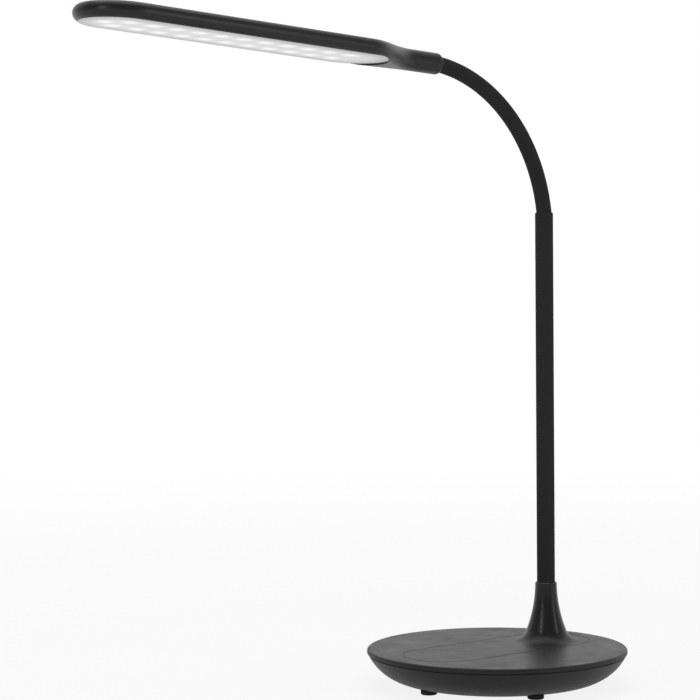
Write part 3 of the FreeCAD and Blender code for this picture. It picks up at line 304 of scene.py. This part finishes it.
# Circuit boards: glass-fibre boards under a coloured solder mask, with copper tracks that show
# as slightly raised, lighter lines.
def masked_board(name, colour, track_colour, track_scale):
    material, tree, shader = new_material(name)
    place = tree.nodes.new("ShaderNodeTexCoord")
    tracks = tree.nodes.new("ShaderNodeTexBrick")
    tracks.inputs["Scale"].default_value = track_scale
    tracks.inputs["Mortar Size"].default_value = 0.05
    tracks.inputs["Mortar Smooth"].default_value = 0.2
    tracks.inputs["Color1"].default_value = (*colour, 1.0)
    tracks.inputs["Color2"].default_value = tuple(c * 0.9 for c in colour) + (1.0,)
    tracks.inputs["Mortar"].default_value = (*track_colour, 1.0)
    wire(tree, place.outputs["Object"], tracks.inputs["Vector"])
    wire(tree, tracks.outputs["Color"], shader.inputs["Base Color"])
    grain = placed_group(tree, moulding_grain, Grain_size=2500.0)
    wire(tree, math_node(tree, "ADD", grain.outputs["Gloss"], 0.3), shader.inputs["Roughness"])
    raise_surface(tree, shader, tracks.outputs["Fac"], 0.3, 0.00003)
    return material


green_board = masked_board("GreenBoard", (0.012, 0.11, 0.045), (0.03, 0.20, 0.08), 160.0)
finish_node("driver_board", green_board)
finish_node("touch_board", green_board)


# Parts on the driver board: ferrite coils, can capacitors and a chip, all near black, with the
# printed-ink dullness of epoxy.
epoxy = moulded_plastic("PartEpoxy", (0.018, 0.018, 0.020), 0.55, 1600.0, 0.00003)
finish_node("driver_parts", epoxy)


# Power jack: a glossy black moulding behind the rear wall, open towards the back.
jack_plastic = moulded_plastic("JackPlastic", (0.012, 0.012, 0.013), 0.3, 2600.0, 0.00002)
finish_node("dc_jack", jack_plastic)


# Stem: a steel tube with a matt black powder coat. The powder leaves a fine orange peel that
# breaks its highlight up along the tube.
def powder_coat(name, colour, roughness, peel_size):
    material, tree, shader = new_material(name)
    place = tree.nodes.new("ShaderNodeTexCoord")
    peel = tree.nodes.new("ShaderNodeTexNoise")
    peel.inputs["Scale"].default_value = peel_size
    peel.inputs["Detail"].default_value = 4.0
    wire(tree, place.outputs["Object"], peel.inputs["Vector"])
    grain = placed_group(tree, moulding_grain, Grain_size=3000.0, Drift=0.1)
    wire(tree, tinted(tree, colour, grain.outputs["Tone"]), shader.inputs["Base Color"])
    rough = math_node(tree, "ADD", grain.outputs["Gloss"], roughness)
    wire(tree, rough, shader.inputs["Roughness"])
    raise_surface(tree, shader, peel.outputs["Fac"], 0.3, 0.00006)
    shader.inputs["Specular IOR Level"].default_value = 0.08
    return material


finish_node("stem_tube", powder_coat("StemCoat", (0.030, 0.030, 0.0310), 0.80, 900.0))


# Core of the neck: twelve short lengths of a hose wound from steel strip, which bend against
# each other at the neck's joints. Fine turns of the strip show where the sleeve is off.
def wound_strip(name, colour, turn):
    material, tree, shader = new_material(name)
    place = tree.nodes.new("ShaderNodeTexCoord")
    turns = tree.nodes.new("ShaderNodeTexWave")
    turns.bands_direction = "Z"
    turns.inputs["Scale"].default_value = turn
    wire(tree, place.outputs["Object"], turns.inputs["Vector"])
    tone = math_node(tree, "MULTIPLY_ADD", turns.outputs["Fac"], 0.35, 0.75)
    wire(tree, tinted(tree, colour, tone), shader.inputs["Base Color"])
    rough = math_node(tree, "MULTIPLY_ADD", turns.outputs["Fac"], -0.15, 0.45)
    wire(tree, rough, shader.inputs["Roughness"])
    raise_surface(tree, shader, turns.outputs["Fac"], 0.8, 0.0003)
    shader.inputs["Metallic"].default_value = 1.0
    return material


LINKS = 12
hose_steel = wound_strip("HoseSteel", (0.45, 0.45, 0.46), 180.0)
for number in range(1, LINKS + 1):
    finish_node(f"neck_core_{number:02d}", hose_steel)


# Sleeve of the neck: one soft black silicone tube, drawn over the core from the stem's mouth to
# the collar. It is built in one rigid length a link, and their round ends meet in the hinges.
STEM_OFFSET = 0.0420
NECK_ROOT_HEIGHT = 0.2892
MOUTH_CURVE = 0.020
NECK_CURVE = 0.102
COLLAR_CURVE = 0.066
START_LEAN = math.radians(8.5)
END_LEAN = math.radians(79.7)
HEAD_TILT = math.radians(3.35)
HEAD_LEAN = math.pi / 2 - HEAD_TILT
MOUTH_RUN = MOUTH_CURVE * START_LEAN
NECK_RUN = NECK_CURVE * (END_LEAN - START_LEAN)
COLLAR_RUN = COLLAR_CURVE * (HEAD_LEAN - END_LEAN)
LINK_RUN = NECK_RUN / LINKS
COLLAR_MIDDLE = MOUTH_RUN + NECK_RUN + COLLAR_RUN / 2


def heading(lean):
    return Vector((-math.sin(lean), 0.0, math.cos(lean)))


def outward(lean):
    return Vector((math.cos(lean), 0.0, math.sin(lean)))


neck_root = Vector((STEM_OFFSET, 0.0, NECK_ROOT_HEIGHT))
mouth_centre = neck_root - outward(0.0) * MOUTH_CURVE
bend_start = mouth_centre + outward(START_LEAN) * MOUTH_CURVE
long_centre = bend_start - outward(START_LEAN) * NECK_CURVE
bend_end = long_centre + outward(END_LEAN) * NECK_CURVE
collar_centre = bend_end - outward(END_LEAN) * COLLAR_CURVE
collar_bend_end = collar_centre + outward(HEAD_LEAN) * COLLAR_CURVE


def neck_station(run):
    """Point and lean of the neck's middle line, run metres past the root."""
    if run < 0:
        return neck_root + heading(0.0) * run, 0.0
    if run < MOUTH_RUN:
        lean = run / MOUTH_CURVE
        return mouth_centre + outward(lean) * MOUTH_CURVE, lean
    run -= MOUTH_RUN
    if run < NECK_RUN:
        lean = START_LEAN + run / NECK_CURVE
        return long_centre + outward(lean) * NECK_CURVE, lean
    run -= NECK_RUN
    if run < COLLAR_RUN:
        lean = END_LEAN + run / COLLAR_CURVE
        return collar_centre + outward(lean) * COLLAR_CURVE, lean
    return collar_bend_end + heading(HEAD_LEAN) * (run - COLLAR_RUN), HEAD_LEAN


# A length's bore widens over its ball end, so that the next link's core has room in a bend.
BORE_FLARE = 0.0021
BALL_TURNS = [math.radians(turn) for turn in (4.5, 9.0, 13.5, 18.0)]
SHARP_CORNER = math.radians(50)


def tube_piece(name, first, last, outer, inner, sides, step, rounded, shift=0.0):
    """A closed length of tube along the neck's middle line. With inner 0 it is a solid rod.
    A rounded end runs on past its hinge as part of a ball that is centred on the hinge."""
    mesh = bmesh.new()
    count = max(2, round((last - first) / step))
    runs = [first + (last - first) * i / count for i in range(count + 1)]
    stations = [neck_station(run) + (1.0,) for run in runs]
    for end, way in ((0, -1), (-1, 1)):
        if rounded[end]:
            centre, lean, _ = stations[end]
            ball = [
                (centre + heading(lean) * (way * outer * math.sin(turn)), lean, math.cos(turn))
                for turn in BALL_TURNS
            ]
            stations = stations + ball if way > 0 else ball[::-1] + stations
    skins = []
    for radius in (outer, inner) if inner else (outer,):
        rings = []
        for centre, lean, share in stations:
            centre = centre + Vector((0.0, shift, 0.0))
            widened = radius + BORE_FLARE * math.sqrt(1.0 - share * share)
            reach = radius * share if radius == outer else widened
            ring = []
            for j in range(sides):
                angle = 2 * math.pi * j / sides
                side = outward(lean) * math.cos(angle) + Vector((0.0, math.sin(angle), 0.0))
                ring.append(mesh.verts.new(centre + side * reach))
            rings.append(ring)
        skins.append(rings)
    for skin, rings in enumerate(skins):
        for lower, upper in zip(rings, rings[1:]):
            for j in range(sides):
                k = (j + 1) % sides
                corners = [lower[j], lower[k], upper[k], upper[j]]
                mesh.faces.new(corners if skin == 0 else corners[::-1])
    for end in (0, -1):
        if inner:
            for j in range(sides):
                k = (j + 1) % sides
                rim = [skins[0][end][j], skins[0][end][k], skins[1][end][k], skins[1][end][j]]
                mesh.faces.new(rim if end else rim[::-1])
        else:
            mesh.faces.new(skins[0][end] if end else skins[0][end][::-1])
    bmesh.ops.recalc_face_normals(mesh, faces=mesh.faces)
    for face in mesh.faces:
        face.smooth = True
    for edge in mesh.edges:
        if edge.calc_face_angle(0.0) > SHARP_CORNER:
            edge.smooth = False
    data = bpy.data.meshes.new(name)
    mesh.to_mesh(data)
    mesh.free()
    piece = bpy.data.objects.new(name, data)
    bpy.context.scene.collection.objects.link(piece)
    return piece


def silicone(name, colour):
    """Soft matt silicone: a velvety skin with a faint powdery tooth."""
    material, tree, shader = new_material(name)
    grain = placed_group(tree, moulding_grain, Grain_size=2600.0, Drift=0.12)
    wire(tree, tinted(tree, colour, grain.outputs["Tone"]), shader.inputs["Base Color"])
    wire(tree, math_node(tree, "ADD", grain.outputs["Gloss"], 0.72), shader.inputs["Roughness"])
    raise_surface(tree, shader, grain.outputs["Height"], 0.3, 0.00004)
    shader.inputs["Specular IOR Level"].default_value = 0.08
    return material


SLEEVE_OUTER = 0.00475
SLEEVE_INNER = 0.0035
SLEEVE_SIDES = 48
SLEEVE_STEP = 0.0009
SLEEVE_FOOT = 0.28540
SLEEVE_PAST_COLLAR = 0.006
SLEEVE_FIRST = SLEEVE_FOOT - NECK_ROOT_HEIGHT
SLEEVE_LAST = COLLAR_MIDDLE + SLEEVE_PAST_COLLAR
sleeve_silicone = silicone("SleeveSilicone", (0.027, 0.027, 0.0280))
link_bodies = ["base"] + [f"neck_{number:02d}" for number in range(1, LINKS + 1)] + ["head"]


def lengths_on_links(name, make, first, last):
    """One rigid length on each link. Their round ends close the outside of a bend."""
    made = []
    hinges = [MOUTH_RUN + LINK_RUN * number for number in range(LINKS + 1)]
    for number, (start, end) in enumerate(zip([first] + hinges, hinges + [last])):
        piece = make(f"{name}_{number:02d}", start, end, (number > 0, number <= LINKS))
        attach(piece, link_bodies[number])
        made.append(piece)
    return made


def sleeve_length(name, first, last, rounded):
    piece = tube_piece(
        name, first, last, SLEEVE_OUTER, SLEEVE_INNER, SLEEVE_SIDES, SLEEVE_STEP, rounded
    )
    piece.data.materials.append(sleeve_silicone)
    return piece


for piece in lengths_on_links("sleeve", sleeve_length, SLEEVE_FIRST, SLEEVE_LAST):
    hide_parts("neck_sleeve")


# Wires: a red and a black lead side by side, from the driver board up through the stem and the
# neck's core to the light board. The straight runs stay in the stem and in the head.
WIRE_RADIUS = 0.0007
WIRE_HALF_GAP = 0.0008
WIRE_SIDES = 12
WIRE_STEP = 0.0015
WIRE_FOOT = 0.0132
WIRE_PAST_COLLAR = 0.0466
WIRE_FIRST = WIRE_FOOT - NECK_ROOT_HEIGHT
WIRE_LAST = COLLAR_MIDDLE + WIRE_PAST_COLLAR


def wire_skin(name, colour):
    material, tree, shader = new_material(name)
    grain = placed_group(tree, moulding_grain, Grain_size=1200.0, Drift=0.2)
    wire(tree, tinted(tree, colour, grain.outputs["Tone"]), shader.inputs["Base Color"])
    wire(tree, math_node(tree, "ADD", grain.outputs["Gloss"], 0.45), shader.inputs["Roughness"])
    return material


for colour_name, colour, shift in (
    ("red", (0.35, 0.012, 0.010), -WIRE_HALF_GAP),
    ("black", (0.012, 0.012, 0.012), WIRE_HALF_GAP),
):
    skin = wire_skin(f"Wire_{colour_name}", colour)

    def wire_length(name, first, last, rounded):
        piece = tube_piece(
            name, first, last, WIRE_RADIUS, 0.0, WIRE_SIDES, WIRE_STEP, rounded, shift
        )
        piece.data.materials.append(skin)
        return piece

    for piece in lengths_on_links(f"wire_{colour_name}", wire_length, WIRE_FIRST, WIRE_LAST):
        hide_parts("neck_wires")


# Head: a slim moulded shell with a fine satin finish, and a cover of the same plastic over the
# neck end of its underside.
HEAD_COLOUR = (0.016, 0.016, 0.0168)
head_plastic = moulded_plastic("HeadPlastic", HEAD_COLOUR, 0.32, 2400.0, 0.000015, 0.3)
finish_node("head_housing", head_plastic)
finish_node("neck_cover", head_plastic)


# Light board and its sources: a white-masked aluminium board with small pale yellow sources.
white_board = masked_board("WhiteBoard", (0.75, 0.75, 0.73), (0.62, 0.60, 0.52), 120.0)
finish_node("led_board", white_board)


def phosphor(name):
    material, tree, shader = new_material(name)
    grain = placed_group(tree, moulding_grain, Grain_size=2200.0, Drift=0.2)
    wire(tree, tinted(tree, (0.85, 0.72, 0.22), grain.outputs["Tone"]), shader.inputs["Base Color"])
    wire(tree, math_node(tree, "ADD", grain.outputs["Gloss"], 0.35), shader.inputs["Roughness"])
    shader.inputs["Emission Color"].default_value = (1.0, 0.95, 0.85, 1.0)
    shader.inputs["Emission Strength"].default_value = 1.0
    return material


finish_node("leds", phosphor("Phosphor"))


# Diffuser: a milky plate that glows evenly, with a soft bright spot under each light source and
# a darker, cooler rim where the shell shades it.
FIRST_LIGHT = 0.0745
LIGHT_STEP = 0.015
LIGHT_ROWS = 11
LIGHT_HALF_GAP = 0.0086
TIP_LIGHT = 0.2352
SPOT_REACH = 0.0080
DIFFUSER_HALF_WIDTH = 0.022
DIFFUSER_REAR = 0.0665
DIFFUSER_FRONT = 0.2259
RIM_REACH = 0.012
EVEN_GLOW = 0.50
SPOT_GLOW = 0.26
RIM_SHADE = 0.38
END_SHADE = 0.17
END_LEAD = 0.006
END_REACH = 0.030
collar_end_point, _ = neck_station(MOUTH_RUN + NECK_RUN + COLLAR_RUN)
head_origin = collar_end_point - heading(HEAD_LEAN) * (COLLAR_RUN / 2)


def build_head_place():
    """A place on the head: along it from the collar, across it, and above its middle line."""
    group, entry, leave = effect_group(
        "HeadPlace",
        [],
        [("Along", "NodeSocketFloat"), ("Across", "NodeSocketFloat"), ("Above", "NodeSocketFloat")],
    )
    place = group.nodes.new("ShaderNodeTexCoord")
    shift = group.nodes.new("ShaderNodeVectorMath")
    shift.operation = "SUBTRACT"
    wire(group, place.outputs["Object"], shift.inputs[0])
    shift.inputs[1].default_value = head_origin
    sides = {
        "Along": heading(HEAD_LEAN),
        "Across": Vector((0.0, -1.0, 0.0)),
        "Above": outward(HEAD_LEAN),
    }
    for label, side in sides.items():
        dot = group.nodes.new("ShaderNodeVectorMath")
        dot.operation = "DOT_PRODUCT"
        wire(group, shift.outputs["Vector"], dot.inputs[0])
        dot.inputs[1].default_value = side
        wire(group, dot.outputs["Value"], leave.inputs[label])
    return group


head_place = build_head_place()


def distance(tree, first, second):
    squares = math_node(tree, "MULTIPLY", first, first)
    total = math_node(tree, "MULTIPLY_ADD", second, second, squares)
    return math_node(tree, "SQRT", total)


def soft_spot(tree, away, reach):
    """1 at the middle, falling smoothly to 0 at reach."""
    share = math_node(tree, "DIVIDE", away, reach, clamp=True)
    node = tree.nodes.new("ShaderNodeMapRange")
    node.interpolation_type = "SMOOTHSTEP"
    node.inputs["To Min"].default_value = 1.0
    node.inputs["To Max"].default_value = 0.0
    wire(tree, share, node.inputs["Value"])
    return node.outputs["Result"]


def lit_diffuser(name):
    material, tree, shader = new_material(name)
    spot = placed_group(tree, head_place)
    along, across = spot.outputs["Along"], spot.outputs["Across"]
    last_light = FIRST_LIGHT + LIGHT_STEP * (LIGHT_ROWS - 1)
    row = math_node(tree, "SUBTRACT", along, FIRST_LIGHT)
    wrapped = math_node(tree, "WRAP", row, LIGHT_STEP / 2, -LIGHT_STEP / 2)
    before = math_node(tree, "SUBTRACT", FIRST_LIGHT, along)
    beyond = math_node(tree, "SUBTRACT", along, last_light)
    outside = math_node(tree, "MAXIMUM", before, beyond)
    past_rows = math_node(tree, "GREATER_THAN", outside, LIGHT_STEP / 2)
    held = math_node(tree, "MULTIPLY_ADD", past_rows, 1.0, wrapped)
    aside = math_node(tree, "SUBTRACT", math_node(tree, "ABSOLUTE", across), LIGHT_HALF_GAP)
    rows = soft_spot(tree, distance(tree, held, aside), SPOT_REACH)
    to_tip = math_node(tree, "SUBTRACT", along, TIP_LIGHT)
    tip = soft_spot(tree, distance(tree, to_tip, across), SPOT_REACH)
    spots = math_node(tree, "MAXIMUM", rows, tip)

    back = math_node(tree, "SUBTRACT", DIFFUSER_REAR, along)
    front = math_node(tree, "SUBTRACT", along, DIFFUSER_FRONT)
    over = math_node(tree, "MAXIMUM", math_node(tree, "MAXIMUM", back, front), 0.0)
    from_line = distance(tree, over, across)
    inside = math_node(tree, "SUBTRACT", DIFFUSER_HALF_WIDTH, from_line)
    rim = soft_spot(tree, math_node(tree, "MAXIMUM", inside, 0.0), RIM_REACH)
    collar_end = math_node(tree, "SUBTRACT", FIRST_LIGHT - END_LEAD, along)
    shaded = math_node(tree, "DIVIDE", collar_end, END_REACH, clamp=True)

    glow = math_node(tree, "MULTIPLY_ADD", spots, SPOT_GLOW, EVEN_GLOW)
    rim_share = math_node(tree, "MULTIPLY_ADD", rim, -RIM_SHADE, 1.0)
    end_share = math_node(tree, "MULTIPLY_ADD", shaded, -END_SHADE, 1.0)
    level = math_node(tree, "MULTIPLY", math_node(tree, "MULTIPLY", glow, rim_share), end_share)
    colour = tree.nodes.new("ShaderNodeMix")
    colour.data_type = "RGBA"
    colour.inputs["A"].default_value = (1.0, 1.0, 1.0, 1.0)
    colour.inputs["B"].default_value = (0.93, 0.96, 1.04, 1.0)
    wire(tree, shaded, colour.inputs["Factor"])
    scaled = tree.nodes.new("ShaderNodeVectorMath")
    scaled.operation = "SCALE"
    wire(tree, colour.outputs["Result"], scaled.inputs[0])
    wire(tree, level, scaled.inputs["Scale"])
    wire(tree, scaled.outputs["Vector"], shader.inputs["Emission Color"])
    shader.inputs["Emission Strength"].default_value = 1.0

    grain = placed_group(tree, moulding_grain, Grain_size=1400.0, Drift=0.04)
    milky = tinted(tree, (0.30, 0.30, 0.30), grain.outputs["Tone"])
    wire(tree, milky, shader.inputs["Base Color"])
    wire(tree, math_node(tree, "ADD", grain.outputs["Gloss"], 0.65), shader.inputs["Roughness"])
    shader.inputs["Specular IOR Level"].default_value = 0.2
    raise_surface(tree, shader, grain.outputs["Height"], 0.15, 0.00002)
    return material


finish_node("diffuser", lit_diffuser("LitDiffuser"))


# Room: a plain white floor that keeps the lamp's shadow, and a white surround that the camera
# and the glossy parts see.
FLOOR_WHITE = (0.86, 0.86, 0.86, 1.0)
FLOOR_GLOW = 0.86
GLOSS_GLOW = 0.45
PAPER_NEAR = 0.35
PAPER_FAR = 1.6
FLOOR_HALF = 4.0


def white_floor():
    mesh = bpy.data.meshes.new("floor")
    sides = ((-1, -1), (1, -1), (1, 1), (-1, 1))
    corners = [(x * FLOOR_HALF, y * FLOOR_HALF, 0) for x, y in sides]
    mesh.from_pydata(corners, [], [(0, 1, 2, 3)])
    floor = bpy.data.objects.new("floor", mesh)
    bpy.context.scene.collection.objects.link(floor)
    material, tree, shader = new_material("FloorPaper")
    shader.inputs["Base Color"].default_value = FLOOR_WHITE
    shader.inputs["Roughness"].default_value = 0.9
    shader.inputs["Specular IOR Level"].default_value = 0.1
    glow = tree.nodes.new("ShaderNodeEmission")
    glow.inputs["Color"].default_value = (1.0, 1.0, 1.0, 1.0)
    path = tree.nodes.new("ShaderNodeLightPath")
    mirrored = math_node(
        tree, "MAXIMUM", path.outputs["Is Glossy Ray"], path.outputs["Is Transmission Ray"]
    )
    place = tree.nodes.new("ShaderNodeTexCoord")
    length = tree.nodes.new("ShaderNodeVectorMath")
    length.operation = "LENGTH"
    wire(tree, place.outputs["Object"], length.inputs[0])
    beyond = math_node(tree, "SUBTRACT", length.outputs["Value"], PAPER_NEAR)
    far = math_node(tree, "DIVIDE", beyond, PAPER_FAR - PAPER_NEAR, clamp=True)
    straight = math_node(tree, "MULTIPLY_ADD", far, 1.0 - FLOOR_GLOW, FLOOR_GLOW)
    in_gloss = math_node(tree, "MULTIPLY_ADD", far, 1.0 - GLOSS_GLOW, GLOSS_GLOW)
    for_camera = math_node(tree, "MULTIPLY", path.outputs["Is Camera Ray"], straight)
    for_gloss = math_node(tree, "MULTIPLY", mirrored, in_gloss)
    share = math_node(tree, "MAXIMUM", for_camera, for_gloss)
    mix = tree.nodes.new("ShaderNodeMixShader")
    wire(tree, share, mix.inputs["Fac"])
    wire(tree, shader.outputs["BSDF"], mix.inputs[1])
    wire(tree, glow.outputs["Emission"], mix.inputs[2])
    wire(tree, mix.outputs["Shader"], tree.nodes["Material Output"].inputs["Surface"])
    mesh.materials.append(material)


white_floor()

WORLD_LIGHT = 0.45
ROOM_IN_GLOSS = 0.2
BACKDROP_WAY = (0.674, 0.739, 0.0)
BACKDROP_START = 0.3
BACKDROP_SPREAD = 1.1
world = bpy.data.worlds.new("Surround")
bpy.context.scene.world = world
world.use_nodes = True
sky = world.node_tree
background = sky.nodes["Background"]
background.inputs["Color"].default_value = (1.0, 1.0, 1.0, 1.0)
path = sky.nodes.new("ShaderNodeLightPath")
seen = math_node(sky, "MAXIMUM", path.outputs["Is Camera Ray"], path.outputs["Is Transmission Ray"])
plain = math_node(sky, "MULTIPLY_ADD", seen, 1.0 - WORLD_LIGHT, WORLD_LIGHT)
direction = sky.nodes.new("ShaderNodeTexCoord")
toward_back = sky.nodes.new("ShaderNodeVectorMath")
toward_back.operation = "DOT_PRODUCT"
wire(sky, direction.outputs["Generated"], toward_back.inputs[0])
toward_back.inputs[1].default_value = BACKDROP_WAY
past = math_node(sky, "ADD", toward_back.outputs["Value"], BACKDROP_START)
share = math_node(sky, "DIVIDE", past, BACKDROP_SPREAD, clamp=True)
in_gloss = math_node(sky, "MULTIPLY_ADD", share, 1.0 - ROOM_IN_GLOSS, ROOM_IN_GLOSS)
left_over = math_node(sky, "SUBTRACT", in_gloss, plain)
gloss_change = math_node(sky, "MULTIPLY", path.outputs["Is Glossy Ray"], left_over)
strength = math_node(sky, "ADD", plain, gloss_change)
wire(sky, strength, background.inputs["Strength"])


# Lights: a broad soft panel overhead, and two narrow upright ones that draw the highlights down
# the stem and the flare, one from the left and one from the right.
def softbox(name, place, target, width, height, power):
    data = bpy.data.lights.new(name, "AREA")
    data.shape = "RECTANGLE"
    data.size = width
    data.size_y = height
    data.energy = power
    lamp = bpy.data.objects.new(name, data)
    lamp.location = place
    lamp.rotation_euler = (Vector(target) - Vector(place)).to_track_quat("-Z", "Y").to_euler()
    bpy.context.scene.collection.objects.link(lamp)


PANEL_SIDE = 1.4
STRIP_WIDTH = 0.22
STRIP_HEIGHT = 0.9
LAMP_MIDDLE = (0.0, 0.0, 0.2)
softbox("overhead", (-0.1, 0.1, 1.6), (-0.05, 0.0, 0.2), PANEL_SIDE, PANEL_SIDE, 8.0)
softbox("left", (-1.6, -0.35, 0.75), LAMP_MIDDLE, STRIP_WIDTH, STRIP_HEIGHT, 3.2)
softbox("right", (0.75, -1.5, 0.55), LAMP_MIDDLE, STRIP_WIDTH, STRIP_HEIGHT, 2.6)


# Camera: a long lens low over the desk, turned a little more than 42 degrees round the lamp.
CAMERA_TURN = 0.73941
CAMERA_DISTANCE = 1.37101
CAMERA_HEIGHT = 0.24671
CAMERA_PAN = -0.0650
CAMERA_PITCH = -0.02943
CAMERA_ROLL = -0.00797
FOCAL_PIXELS = 2229.12
IMAGE_PIXELS = 700.0

level_ahead = Vector((math.sin(CAMERA_TURN), math.cos(CAMERA_TURN), 0.0))
level_right = Vector((math.cos(CAMERA_TURN), -math.sin(CAMERA_TURN), 0.0))
ahead = math.cos(CAMERA_PAN) * level_ahead + math.sin(CAMERA_PAN) * level_right
right = math.cos(CAMERA_PAN) * level_right - math.sin(CAMERA_PAN) * level_ahead
up = Vector((0.0, 0.0, 1.0))
look = math.cos(CAMERA_PITCH) * ahead + math.sin(CAMERA_PITCH) * up
top = math.cos(CAMERA_PITCH) * up - math.sin(CAMERA_PITCH) * ahead
rolled_right = math.cos(CAMERA_ROLL) * right + math.sin(CAMERA_ROLL) * top
rolled_top = math.cos(CAMERA_ROLL) * top - math.sin(CAMERA_ROLL) * right
camera_data = bpy.data.cameras.new("camera")
camera_data.sensor_width = 36.0
camera_data.lens = camera_data.sensor_width * FOCAL_PIXELS / IMAGE_PIXELS
camera = bpy.data.objects.new("camera", camera_data)
camera_place = -CAMERA_DISTANCE * level_ahead + Vector((0.0, 0.0, CAMERA_HEIGHT))
turn = Matrix((rolled_right, rolled_top, -look)).transposed().to_4x4()
camera.matrix_world = Matrix.Translation(camera_place) @ turn
bpy.context.scene.collection.objects.link(camera)
bpy.context.scene.camera = camera
bpy.context.scene.view_settings.view_transform = "Standard"
